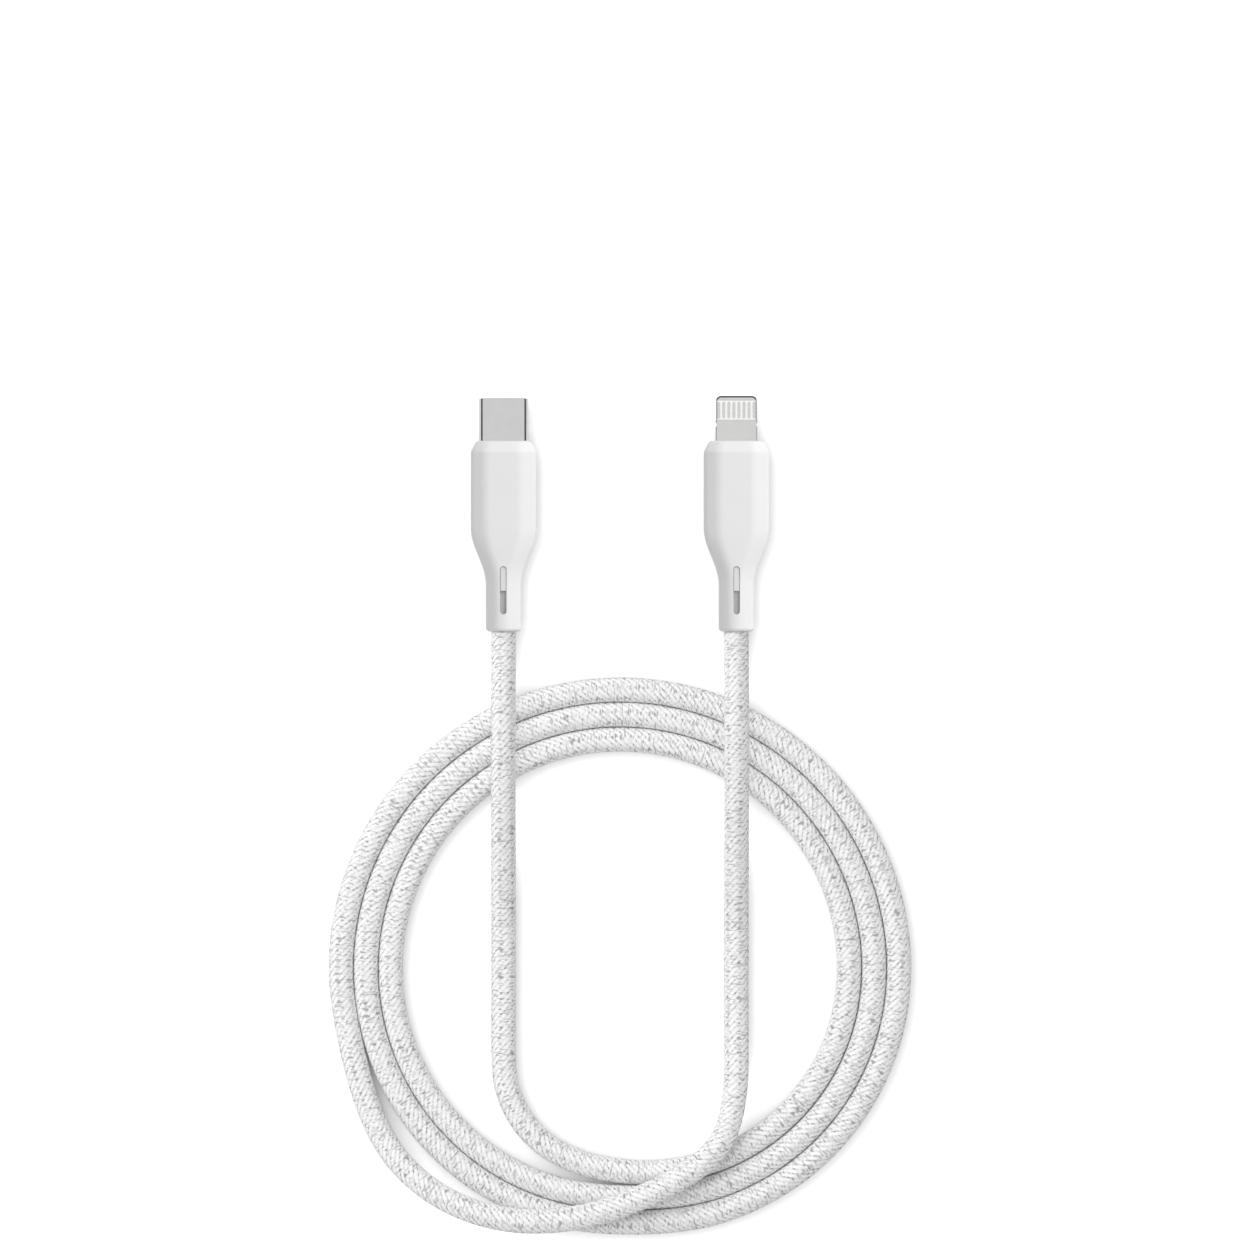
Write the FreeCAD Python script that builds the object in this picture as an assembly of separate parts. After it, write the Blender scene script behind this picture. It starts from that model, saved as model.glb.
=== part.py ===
import FreeCAD, Part
import math
import os

# Charging cable: a braided cord with a type-C plug on one end and a slim reversible phone plug on the other.
#
# Row frame, millimetres: +Z up, the cable lies on the floor z = 0 and both plugs point along +Y, side by side.
# The origin is on the floor, under the middle of the box round the two plugs.
# A plug is drawn in its own frame first: axis on Y, front face of its housing at y = 0, pointing along +Y.

Vector = FreeCAD.Vector

# --- Layout of the stored cable -------------------------------------------------------------------------------
PLUG_SPACING = 38.8          # between the axes of the two plugs
LEAD_REACH = 56.25           # from the middle of the coil to the back of the housings
HUMP_NEAR = 44.4             # the leads lie over the coil's turns between these two distances from its middle
HUMP_FAR = 30.2
EXIT_BEND = 51.6             # where a lead starts to climb out of its plug
LANDING = 9.6                # where a lead is down on the floor inside the coil
FIT = 0.05                   # clearance between nested pieces that are pushed or moulded together

# --- Cord and coil --------------------------------------------------------------------------------------------
CORD_DIAMETER = 4.0          # across the flats of its section
CORD_SIDES = 12
COIL_PITCH = 4.45            # from one turn to the next, middle to middle
COIL_INNER_RADIUS = 37.95    # middle of the innermost turn
COIL_INNER_DROP = 33.6       # how far below the coil's middle the innermost turn passes
COIL_TURNS = 3
COIL_TURN_IN = 20.0          # radius on which the innermost turn leaves the ring towards the type-C lead
COIL_END_ANGLE = 15.0        # degrees that the outermost turn goes on past its half turn
OUTER_RUN = 11.0             # straight run of the phone lead where it leaves the coil
ARC_SHARE = 0.45             # share of the shorter run that each arc of a lead takes
CROSSING_HEIGHT = 6.9        # middle of a lead where it lies over the coil's turns

# --- Housing, the same moulding on both plugs -----------------------------------------------------------------
HOUSING_LENGTH = 31.75
HOUSING_WIDTH = 10.9
HOUSING_THICKNESS = 6.4
BODY_TOP_WIDTH = 6.0         # flat facet on top and underneath
BODY_SIDE_HEIGHT = 3.6       # flat facet on each side
BODY_EDGE_BREAK = 0.35       # each long edge is broken this far to both sides of it
NECK_WIDTH = 5.9
NECK_THICKNESS = 5.9
NECK_TOP_WIDTH = 1.1
NECK_SIDE_HEIGHT = 1.8
NECK_EDGE_BREAK = 0.25
TAPER_START = 14.5           # from the front face
TAPER_END = 24.0
TAPER_SECTIONS = 9
NOSE_LENGTH = 2.1
NOSE_INSET = 1.1             # how far the front face stands in from the sides
NOSE_BEVEL_SHARE = 0.76      # share of the nose's length taken by its two bevels
NOSE_FRONT_SHARE = 0.15      # share taken by the steeper of them
NOSE_FRONT_STEP = 0.3        # share of the inset that the steeper one takes
NOSE_LAST_STEP = 0.1         # share of the inset left where the bevels end
TAIL_LENGTH = 0.9
TAIL_INSET = 0.7
TAIL_BEVEL_SHARE = 0.7       # share of the tail's length taken by the flatter of its two bevels
TAIL_STEP = 0.4              # share of the inset that the flatter one takes
FRONT_WALL = 1.2
SIDE_WALL = 0.75

# --- Slot in the neck, with its inlay -------------------------------------------------------------------------
SLOT_WIDTH = 1.06
SLOT_FRONT = 20.9            # from the front face
SLOT_BACK = 29.0
SLOT_DEPTH = 0.65
INLAY_BACK = 25.0
INLAY_DROP = 0.12            # inlay's top below the neck's top
INLAY_FIT = 0.02

# --- Pieces behind each connector, sealed in the housing ------------------------------------------------------
MOULD_LENGTH = 15.0          # from the front face to the back of the inner mould's wide part
MOULD_BOSS_WIDTH = 5.6       # across the flats of the eight-sided boss round the ferrule
MOULD_BOSS_END = 19.8
CAN_WIDTH = 8.5
CAN_HEIGHT = 2.9
CAN_WALL = 0.2
CAN_FRONT = 1.6
CAN_BACK = 14.2
CAN_BACK_OPENING = 4.4
BOARD_THICKNESS = 0.6
BOARD_WIDTH = 6.6
BOARD_FRONT = 3.0
BOARD_BACK = 13.2
CORD_END = 15.2              # where the cord's jacket ends inside the plug
FERRULE_WIDTH = 4.8          # across the flats of its six-sided crimp
FERRULE_LENGTH = 4.2
WIRE_DIAMETER = 0.85
WIRE_SIDES = 10
WIRE_OFFSET = 0.7            # of each wire from the plug's middle plane, sideways
WIRE_LAP = 2.0               # how far the wires run over the board
PART_GAP = 0.6               # between neighbouring parts on a board
CHIP_SETBACK = 2.2           # from the board's front edge to its chip
CHIP_HEIGHT = 0.8
CHIP_BREAK = 0.1             # broken top edges of every part
TYPE_C_CHIP = (2.6, 2.6)     # length and width
PHONE_CHIP = (3.0, 3.4)
PASSIVE_LENGTH = 0.6
PASSIVE_WIDTH = 1.0
PASSIVE_HEIGHT = 0.4
WIRE_OPENING = 3.2           # width of the way from the can into the ferrule
FERRULE_SIDES = 6
BOSS_SIDES = 8

# --- Type-C connector -----------------------------------------------------------------------------------------
TUBE_WIDTH = 8.25            # the standard plug's outer size
TUBE_HEIGHT = 2.4
TUBE_WALL = 0.25
TUBE_REACH = 7.1             # in front of the housing
TUBE_TAIL = 2.6              # behind the housing's front face
TUBE_LIP = 0.12              # bevel round the lip
INSERT_RECESS = 0.4          # insert's front behind the tube's lip
INSERT_TAIL = 2.4
MOUTH_WIDTH = 7.2
CONTACT_THICKNESS = 0.12
CONTACT_WIDTH = 0.24
CONTACT_PITCH = 0.5
CONTACT_FRONT = 5.9
CONTACT_TAIL = 4.6
CONTACT_BUMP = 0.15
BUMP_MIDDLE = 4.6
BUMP_LENGTH = 1.0
UPPER_POSITIONS = (1, 4, 5, 6, 7, 9, 12)   # of the standard's twelve, those that a charge and sync cable wires
LOWER_POSITIONS = (1, 4, 5, 9, 12)
POSITION_COUNT = 12
LATCH_THICKNESS = 0.2
LATCH_HEIGHT = 0.5
LATCH_FRONT = 5.6
LATCH_BACK = 1.4
LATCH_HOOK = 0.14
GROUND_SPRING_THICKNESS = 0.1
GROUND_SPRING_WIDTH = 4.8
GROUND_SPRING_FRONT = 6.1
GROUND_SPRING_LENGTH = 2.0

# --- Phone connector ------------------------------------------------------------------------------------------
TONGUE_REACH = 7.42
TONGUE_WIDTH = 6.9
TONGUE_THICKNESS = 1.5
TONGUE_CORNER = 0.9
TONGUE_BEVEL = 0.3
BASE_REACH = 3.4
BASE_WIDTH = 7.2
BASE_THICKNESS = 1.7
TONGUE_TAIL = 2.6
NOTCH_WIDTH = 0.9
NOTCH_DEPTH = 0.3
NOTCH_REACH = 2.7            # middle of the latching notch in each side
WINDOW_BACK = 3.5
WINDOW_FRONT = 6.77
WINDOW_WIDTH = 6.4
CORE_HEIGHT = 0.8            # of the insulator's slab between the two faces of the frame
CORE_WIDTH = 5.6
PAD_COUNT = 8
PAD_PITCH = 0.84
PAD_WIDTH = 0.42
PAD_LENGTH = 2.7
PAD_THICKNESS = 0.05
PAD_PROUD = 0.01             # contacts above the metal round them

# --- Worked-out values ----------------------------------------------------------------------------------------
CORD_RADIUS = CORD_DIAMETER / 2
CORD_REST = CORD_RADIUS / math.cos(math.pi / CORD_SIDES)
AXIS_HEIGHT = HOUSING_THICKNESS / 2
FRONT_Y = (HOUSING_LENGTH - TONGUE_REACH) / 2
COIL_Y = FRONT_Y - HOUSING_LENGTH - LEAD_REACH
TYPE_C_X = -PLUG_SPACING / 2
PHONE_X = PLUG_SPACING / 2
BODY_SECTION = (HOUSING_WIDTH / 2, HOUSING_THICKNESS / 2, BODY_TOP_WIDTH / 2, BODY_SIDE_HEIGHT / 2)
NECK_SECTION = (NECK_WIDTH / 2, NECK_THICKNESS / 2, NECK_TOP_WIDTH / 2, NECK_SIDE_HEIGHT / 2)
MOUTH_HEIGHT = BOARD_THICKNESS + 2 * CONTACT_THICKNESS


# --- General shapes -------------------------------------------------------------------------------------------
def block(width, y_back, y_front, z_low, z_high, x_middle=0.0):
    """A box between two planes across the plug's axis, centred sideways on x_middle."""
    corner = Vector(x_middle - width / 2, y_back, z_low)
    return Part.makeBox(width, y_front - y_back, z_high - z_low, corner)


def round_bar(radius, y_back, y_front, x=0.0, z=0.0):
    """A cylinder along the plug's axis."""
    return Part.makeCylinder(radius, y_front - y_back, Vector(x, y_back, z), Vector(0, 1, 0))


def polygon_wire(sides, width, centre, heading):
    """A regular polygon square to a level heading, width across its flats and lying on one of them."""
    heading = Vector(heading).normalize()
    up = Vector(0, 0, 1)
    aside = heading.cross(up)
    corner_radius = width / 2 / math.cos(math.pi / sides)
    corners = []
    for index in range(sides + 1):
        angle = 2 * math.pi * (index + 0.5) / sides - math.pi / 2
        across = aside * (corner_radius * math.cos(angle))
        corners.append(centre + across + up * (corner_radius * math.sin(angle)))
    return Part.makePolygon(corners)


def polygon_bar(sides, width, y_back, y_front, x=0.0, z=0.0):
    """A bar of regular section along the plug's axis, width across its flats."""
    wire = polygon_wire(sides, width, Vector(x, y_back, z), Vector(0, 1, 0))
    return Part.Face(wire).extrude(Vector(0, y_front - y_back, 0))


def racetrack_bar(width, height, y_back, y_front):
    """A bar along the plug's axis whose flat top and bottom are joined by half circles."""
    radius = height / 2
    flat = block(width - height, y_back, y_front, -radius, radius)
    left = round_bar(radius, y_back, y_front, x=-(width - height) / 2)
    right = round_bar(radius, y_back, y_front, x=(width - height) / 2)
    return flat.fuse([left, right]).removeSplitter()


def stadium_plate(width, y_back, y_front, z_low, z_high):
    """A flat bar along the plug's axis with round ends, seen from above."""
    radius = width / 2
    height = z_high - z_low
    middle = block(width, y_back + radius, y_front - radius, z_low, z_high)
    back = Part.makeCylinder(radius, height, Vector(0, y_back + radius, z_low))
    front = Part.makeCylinder(radius, height, Vector(0, y_front - radius, z_low))
    return middle.fuse([back, front]).removeSplitter()


def closed(corners):
    """The corners as a closed wire of straight edges."""
    return Part.makePolygon(corners + corners[:1])


def prism(corners, direction):
    """The solid that the corners' flat face sweeps along the direction."""
    return Part.Face(closed(corners)).extrude(direction)


def broken_corners(corners, reach):
    """Each corner replaced by two points, the given reach before it and after it."""
    broken = []
    for index, corner in enumerate(corners):
        to_last = (corners[index - 1] - corner).normalize()
        to_next = (corners[(index + 1) % len(corners)] - corner).normalize()
        broken += [corner + to_last * reach, corner + to_next * reach]
    return broken


def plug_at(shape, x):
    """A shape from a plug's own frame, put where that plug lies."""
    moved = shape.copy()
    moved.translate(Vector(x, FRONT_Y, AXIS_HEIGHT))
    return moved


# --- Housing --------------------------------------------------------------------------------------------------
def inset_section(section, depth):
    """The bevelled section with each of its eight sides moved inwards by depth."""
    half_width, half_height, half_top, half_side = section
    slope = math.atan2(half_height - half_side, half_width - half_top)
    top = half_top - depth * math.tan(slope / 2)
    side = half_side - depth * math.tan((math.pi / 2 - slope) / 2)
    return (half_width - depth, half_height - depth, top, side)


def blend_section(share):
    """The section between the body's, at share 0, and the neck's, at share 1."""
    return tuple(body + (neck - body) * share for body, neck in zip(BODY_SECTION, NECK_SECTION))


def section_corners(section, y):
    """The eight corners of the bevelled section, in a plane across the plug's axis."""
    half_width, half_height, half_top, half_side = section
    upper_right = [(half_top, half_height), (half_width, half_side)]
    lower_right = [(x, -z) for x, z in reversed(upper_right)]
    lower_left = [(-x, -z) for x, z in upper_right]
    upper_left = [(-x, z) for x, z in reversed(upper_right)]
    outline = upper_right + lower_right + lower_left + upper_left
    return [Vector(x, y, z) for x, z in outline]


def section_wire(section, edge_break, y):
    """The bevelled section as a closed wire with its long edges broken."""
    return closed(broken_corners(section_corners(section, y), edge_break))


def taper_share(depth):
    """0 in front of the taper, 1 behind it and an even S between."""
    along = (depth - TAPER_START) / (TAPER_END - TAPER_START)
    along = min(max(along, 0.0), 1.0)
    return (1 - math.cos(math.pi * along)) / 2


def section_prism(section, edge_break, y_back, y_front):
    face = Part.Face(section_wire(section, edge_break, y_back))
    return face.extrude(Vector(0, y_front - y_back, 0))


def ruled_ends(section, edge_break, steps):
    """A short stretch whose section shrinks in straight steps, given as (y, inset) pairs."""
    wires = [section_wire(inset_section(section, inset), edge_break, y) for y, inset in steps]
    return Part.makeLoft(wires, True, True)


def housing_outside():
    """Bevelled nose, flat-sided body, S-shaped taper and neck, as one closed solid."""
    nose_steps = [
        (0.0, NOSE_INSET),
        (-NOSE_FRONT_SHARE * NOSE_LENGTH, (1 - NOSE_FRONT_STEP) * NOSE_INSET),
        (-NOSE_BEVEL_SHARE * NOSE_LENGTH, NOSE_LAST_STEP * NOSE_INSET),
        (-NOSE_LENGTH, 0.0),
    ]
    nose = ruled_ends(BODY_SECTION, BODY_EDGE_BREAK, nose_steps)
    body = section_prism(BODY_SECTION, BODY_EDGE_BREAK, -TAPER_START, -NOSE_LENGTH)
    wires = []
    for index in range(TAPER_SECTIONS):
        depth = TAPER_START + (TAPER_END - TAPER_START) * index / (TAPER_SECTIONS - 1)
        share = taper_share(depth)
        edge_break = BODY_EDGE_BREAK + (NECK_EDGE_BREAK - BODY_EDGE_BREAK) * share
        wires.append(section_wire(blend_section(share), edge_break, -depth))
    taper = Part.makeLoft(wires, True, True)
    tail_start = HOUSING_LENGTH - TAIL_LENGTH
    neck = section_prism(NECK_SECTION, NECK_EDGE_BREAK, -tail_start, -TAPER_END)
    tail_steps = [
        (-tail_start, 0.0),
        (-tail_start - TAIL_BEVEL_SHARE * TAIL_LENGTH, TAIL_STEP * TAIL_INSET),
        (-HOUSING_LENGTH, TAIL_INSET),
    ]
    tail = ruled_ends(NECK_SECTION, NECK_EDGE_BREAK, tail_steps)
    return nose.fuse([body, taper, neck, tail]).removeSplitter()


def mould_outside(clearance):
    """The inner mould's outer form, grown by the clearance all round."""
    back = -MOULD_LENGTH - clearance
    front = -FRONT_WALL - FIT + clearance
    corners = section_corners(inset_section(BODY_SECTION, SIDE_WALL - clearance), back)
    wide = prism(corners, Vector(0, front - back, 0))
    boss = polygon_bar(BOSS_SIDES, MOULD_BOSS_WIDTH + 2 * clearance, -MOULD_BOSS_END - clearance, front)
    return wide.fuse(boss).removeSplitter()


def slot_plan(width, y_back, z_low):
    """The slot's outline from its front end to y_back, standing up from z_low through the neck's top."""
    full = stadium_plate(width, -SLOT_BACK, -SLOT_FRONT, z_low, HOUSING_THICKNESS)
    kept = block(2 * width, y_back, 0, z_low, HOUSING_THICKNESS)
    return full.common(kept)


def housing(connector_hole):
    """The outer moulding, hollow for the inner mould, the connector and the cord."""
    slot_floor = NECK_THICKNESS / 2 - SLOT_DEPTH
    bore = polygon_bar(CORD_SIDES, CORD_DIAMETER + 2 * FIT, -HOUSING_LENGTH, -MOULD_LENGTH)
    slot = slot_plan(SLOT_WIDTH, -SLOT_BACK, slot_floor)
    return housing_outside().cut([mould_outside(FIT), connector_hole, bore, slot])


def slot_inlay():
    """The pale strip that fills the front half of the slot nearly flush."""
    slot_floor = NECK_THICKNESS / 2 - SLOT_DEPTH
    strip = slot_plan(SLOT_WIDTH - 2 * INLAY_FIT, -INLAY_BACK, slot_floor)
    above = block(HOUSING_WIDTH, -HOUSING_LENGTH, 0, NECK_THICKNESS / 2 - INLAY_DROP, 2 * HOUSING_THICKNESS)
    return strip.cut(above)


# --- Pieces sealed in each housing ----------------------------------------------------------------------------
def shield_can(connector_hole):
    """Folded steel box round the board, with a hole for the connector and one for the wires."""
    half = CAN_HEIGHT / 2
    outside = block(CAN_WIDTH, -CAN_BACK, -CAN_FRONT, -half, half)
    room = block(
        CAN_WIDTH - 2 * CAN_WALL, -CAN_BACK + CAN_WALL, -CAN_FRONT - CAN_WALL, -half + CAN_WALL, half - CAN_WALL
    )
    back_door = block(CAN_BACK_OPENING, -CAN_BACK, -CAN_BACK + CAN_WALL, -half + CAN_WALL, half - CAN_WALL)
    return outside.cut([room, back_door, connector_hole])


def inner_mould(connector_hole):
    """Stiff plastic cast round the can and the crimped end of the cord."""
    half = CAN_HEIGHT / 2 + FIT
    can_room = block(CAN_WIDTH + 2 * FIT, -CAN_BACK - FIT, -CAN_FRONT + FIT, -half, half)
    ferrule_room = polygon_bar(FERRULE_SIDES, FERRULE_WIDTH + 2 * FIT, -MOULD_BOSS_END, -CORD_END + FIT)
    wire_room = block(WIRE_OPENING, -CORD_END, -CAN_BACK, -half, half)
    return mould_outside(0).cut([can_room, ferrule_room, wire_room, connector_hole])


def board():
    half = BOARD_THICKNESS / 2
    return block(BOARD_WIDTH, -BOARD_BACK, -BOARD_FRONT, -half, half)


def chip(length, width, height, x_middle, y_front):
    """One part on the board's upper face, with its top edges broken."""
    bottom = BOARD_THICKNESS / 2
    body = block(width, y_front - length, y_front, bottom, bottom + height, x_middle)
    top = [edge for edge in body.Edges if edge.BoundBox.ZMin > bottom + height - FIT]
    return body.makeChamfer(CHIP_BREAK, top)


def board_parts(chip_size):
    """One packaged chip and three small passives in a row behind it."""
    length, width = chip_size
    chip_front = -BOARD_FRONT - CHIP_SETBACK
    passive_front = chip_front - length - PART_GAP
    parts = [chip(length, width, CHIP_HEIGHT, 0.0, chip_front)]
    for column in (-1, 0, 1):
        x_middle = column * (PASSIVE_WIDTH + PART_GAP)
        parts.append(chip(PASSIVE_LENGTH, PASSIVE_WIDTH, PASSIVE_HEIGHT, x_middle, passive_front))
    return Part.Compound(parts)


def wires():
    """Two insulated wires over the board and two under it, up to the end of the cord."""
    height = BOARD_THICKNESS / 2 + FIT + WIRE_DIAMETER / 2
    front = -BOARD_BACK + WIRE_LAP
    places = [(x, z) for x in (-WIRE_OFFSET, WIRE_OFFSET) for z in (-height, height)]
    return Part.Compound([polygon_bar(WIRE_SIDES, WIRE_DIAMETER, -CORD_END, front, x, z) for x, z in places])


def cord_core():
    """The end of the cord inside the neck, from the housing's back face to where its jacket is stripped."""
    return polygon_bar(CORD_SIDES, CORD_DIAMETER, -HOUSING_LENGTH, -CORD_END)


def ferrule():
    """Crimped metal ring round the end of the cord's jacket."""
    outer = polygon_bar(FERRULE_SIDES, FERRULE_WIDTH, -CORD_END - FERRULE_LENGTH, -CORD_END)
    inner = polygon_bar(CORD_SIDES, CORD_DIAMETER + 2 * FIT, -CORD_END - FERRULE_LENGTH, -CORD_END)
    return outer.cut(inner)


def back_end(prefix, connector_hole, chip_size):
    """What both plugs share behind their connectors, by node name."""
    return {
        prefix + "housing": housing(connector_hole),
        prefix + "slot_inlay": slot_inlay(),
        prefix + "inner_mould": inner_mould(connector_hole),
        prefix + "shield_can": shield_can(connector_hole),
        prefix + "board": board(),
        prefix + "board_parts": board_parts(chip_size),
        prefix + "wires": wires(),
        prefix + "crimp_ferrule": ferrule(),
        prefix + "cord_end": cord_core(),
    }


# --- Type-C connector -----------------------------------------------------------------------------------------
def connector_tube():
    """Deep-drawn steel tube with a bevelled lip."""
    outside = racetrack_bar(TUBE_WIDTH, TUBE_HEIGHT, -TUBE_TAIL, TUBE_REACH)
    lip = [edge for edge in outside.Edges if edge.BoundBox.YMin > TUBE_REACH - FIT]
    outside = outside.makeChamfer(TUBE_LIP, lip)
    inside = racetrack_bar(TUBE_WIDTH - 2 * TUBE_WALL, TUBE_HEIGHT - 2 * TUBE_WALL, -TUBE_TAIL, TUBE_REACH)
    return outside.cut(inside)


def insert_half_height():
    return TUBE_HEIGHT / 2 - TUBE_WALL - FIT


def contact_insert():
    """Plastic liner of the tube, open right through and recessed outside for the ground springs."""
    front = TUBE_REACH - INSERT_RECESS
    half = insert_half_height()
    body = racetrack_bar(TUBE_WIDTH - 2 * TUBE_WALL - 2 * FIT, 2 * half, -INSERT_TAIL, front)
    mouth = block(MOUTH_WIDTH, -INSERT_TAIL, front, -MOUTH_HEIGHT / 2, MOUTH_HEIGHT / 2)
    spring_back = GROUND_SPRING_FRONT - GROUND_SPRING_LENGTH
    recesses = []
    for side in (-1, 1):
        inner, outer = sorted((side * (half - GROUND_SPRING_THICKNESS), side * TUBE_HEIGHT))
        recesses.append(block(GROUND_SPRING_WIDTH, spring_back, GROUND_SPRING_FRONT, inner, outer))
    return body.cut([mouth] + recesses)


def ground_springs():
    """One thin plate above the insert and one below, between it and the tube."""
    half = insert_half_height()
    plates = []
    for side in (-1, 1):
        low, high = sorted((side * (half - GROUND_SPRING_THICKNESS), side * half))
        spring_back = GROUND_SPRING_FRONT - GROUND_SPRING_LENGTH
        plates.append(block(GROUND_SPRING_WIDTH, spring_back, GROUND_SPRING_FRONT, low, high))
    return Part.Compound(plates)


def contact_row(positions, side):
    """Spring contacts on the mouth's roof (side 1) or floor (side -1), each bent inwards near its tip."""
    seat = MOUTH_HEIGHT / 2
    inner = seat - CONTACT_THICKNESS
    outline = [
        (-CONTACT_TAIL, seat),
        (CONTACT_FRONT, seat),
        (CONTACT_FRONT, inner),
        (BUMP_MIDDLE + BUMP_LENGTH / 2, inner),
        (BUMP_MIDDLE, inner - CONTACT_BUMP),
        (BUMP_MIDDLE - BUMP_LENGTH / 2, inner),
        (-CONTACT_TAIL, inner),
    ]
    strips = []
    for position in positions:
        x = side * (position - (POSITION_COUNT + 1) / 2) * CONTACT_PITCH - CONTACT_WIDTH / 2
        corners = [Vector(x, y, side * z) for y, z in outline]
        strips.append(prism(corners, Vector(CONTACT_WIDTH, 0, 0)))
    return Part.Compound(strips)


def side_latch():
    """Steel U whose two arms lie along the mouth's sides and end in inward hooks."""
    outer = MOUTH_WIDTH / 2
    inner = outer - LATCH_THICKNESS
    half = LATCH_HEIGHT / 2
    back = -LATCH_BACK
    outline = [
        (outer, back),
        (outer, LATCH_FRONT),
        (inner, LATCH_FRONT),
        (inner - LATCH_HOOK, LATCH_FRONT - 2 * LATCH_THICKNESS),
        (inner, LATCH_FRONT - 4 * LATCH_THICKNESS),
        (inner, back + 2 * LATCH_THICKNESS),
    ]
    mirrored = [(-x, y) for x, y in reversed(outline)]
    corners = [Vector(x, y, -half) for x, y in outline + mirrored]
    latch = prism(corners, Vector(0, 0, LATCH_HEIGHT))
    # The bridge between the arms is thinner than they are, so that it passes between the contact rows.
    bridge_half = LATCH_THICKNESS / 2
    bridge_front = back + 2 * LATCH_THICKNESS
    over = block(2 * inner, back, bridge_front, bridge_half, half)
    under = block(2 * inner, back, bridge_front, -half, -bridge_half)
    return latch.cut([over, under])


def type_c_plug():
    hole = racetrack_bar(TUBE_WIDTH + 2 * FIT, TUBE_HEIGHT + 2 * FIT, -TUBE_TAIL, TUBE_REACH)
    nodes = back_end("type_c_", hole, TYPE_C_CHIP)
    nodes["type_c_tube"] = connector_tube()
    nodes["type_c_contact_insert"] = contact_insert()
    nodes["type_c_ground_springs"] = ground_springs()
    nodes["type_c_upper_contacts"] = contact_row(UPPER_POSITIONS, 1)
    nodes["type_c_lower_contacts"] = contact_row(LOWER_POSITIONS, -1)
    nodes["type_c_side_latch"] = side_latch()
    return nodes


# --- Phone connector ------------------------------------------------------------------------------------------
def tongue_blank():
    """The tongue before its windows are cut: rounded corners and bevelled rims on a slightly wider base."""
    half_thick = TONGUE_THICKNESS / 2
    blade = block(TONGUE_WIDTH, -TONGUE_TAIL, TONGUE_REACH, -half_thick, half_thick)
    tips = [edge for edge in blade.Edges if edge.BoundBox.ZLength > FIT and edge.BoundBox.YMin > 0]
    blade = blade.makeFillet(TONGUE_CORNER, tips)
    rims = [edge for edge in blade.Edges if edge.BoundBox.ZLength < FIT]
    blade = blade.makeChamfer(TONGUE_BEVEL, rims)
    base = racetrack_bar(BASE_WIDTH, BASE_THICKNESS, -TONGUE_TAIL, BASE_REACH)
    return blade.fuse(base).removeSplitter()


def core_pieces():
    """The insulator's slab and the two raised pads that show in the frame's windows."""
    slab = block(CORE_WIDTH, -TONGUE_TAIL, WINDOW_FRONT, -CORE_HEIGHT / 2, CORE_HEIGHT / 2)
    half = TONGUE_THICKNESS / 2 - PAD_THICKNESS + PAD_PROUD
    pads = block(WINDOW_WIDTH, WINDOW_BACK, WINDOW_FRONT, -half, half)
    return slab.fuse(pads).removeSplitter()


def side_notch(side):
    """Cutter for the notch that the phone's latch drops into: a flat-bottomed V across the tongue's edge."""
    outer = side * BASE_WIDTH
    mouth = side * BASE_WIDTH / 2
    floor = side * (BASE_WIDTH / 2 - NOTCH_DEPTH)
    half = NOTCH_WIDTH / 2
    outline = [
        (outer, NOTCH_REACH - half),
        (mouth, NOTCH_REACH - half),
        (floor, NOTCH_REACH - half / 2),
        (floor, NOTCH_REACH + half / 2),
        (mouth, NOTCH_REACH + half),
        (outer, NOTCH_REACH + half),
    ]
    corners = [Vector(x, y, -TONGUE_THICKNESS) for x, y in outline]
    return prism(corners, Vector(0, 0, 2 * TONGUE_THICKNESS))


def tongue_frame():
    """Steel frame of the tongue, with a window on each face and a notch in each side."""
    half = TONGUE_THICKNESS
    windows = block(WINDOW_WIDTH, WINDOW_BACK, WINDOW_FRONT, -half, half)
    slab_room = block(CORE_WIDTH, -TONGUE_TAIL, WINDOW_FRONT, -CORE_HEIGHT / 2, CORE_HEIGHT / 2)
    notches = [side_notch(side) for side in (-1, 1)]
    return tongue_blank().cut([windows, slab_room] + notches)


def contact_pads(side):
    """Eight plated contacts with blunted ends on one face of the insulator."""
    seat = side * (TONGUE_THICKNESS / 2 - PAD_THICKNESS + PAD_PROUD)
    half = PAD_WIDTH / 2
    half_length = PAD_LENGTH / 2
    quarter = [(half, half_length - half), (half / 2, half_length)]
    outline = quarter + [(-x, y) for x, y in reversed(quarter)]
    outline += [(-x, -y) for x, y in quarter] + [(x, -y) for x, y in reversed(quarter)]
    middle = (WINDOW_BACK + WINDOW_FRONT) / 2
    pads = []
    for index in range(PAD_COUNT):
        column = (index - (PAD_COUNT - 1) / 2) * PAD_PITCH
        corners = [Vector(column + x, middle + y, seat) for x, y in outline]
        pads.append(prism(corners, Vector(0, 0, side * PAD_THICKNESS)))
    return Part.Compound(pads)


def phone_plug():
    hole = racetrack_bar(BASE_WIDTH + 2 * FIT, BASE_THICKNESS + 2 * FIT, -TONGUE_TAIL, BASE_REACH)
    nodes = back_end("phone_", hole, PHONE_CHIP)
    nodes["phone_tongue_frame"] = tongue_frame()
    nodes["phone_contact_core"] = core_pieces()
    nodes["phone_upper_contacts"] = contact_pads(1)
    nodes["phone_lower_contacts"] = contact_pads(-1)
    return nodes


# --- Cord: coil and the two leads -----------------------------------------------------------------------------
def coil_point(x, y, z=CORD_RADIUS):
    """A point given from the coil's middle."""
    return Vector(x, y + COIL_Y, z)


def flat_arc(centre, radius, start, sweep):
    """An arc on the floor about a centre given from the coil's middle, with angles in degrees."""
    angles = [math.radians(start + sweep * share) for share in (0, 0.5, 1)]
    points = [coil_point(centre[0] + radius * math.cos(a), centre[1] + radius * math.sin(a)) for a in angles]
    return Part.Arc(*points).toShape()


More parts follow.
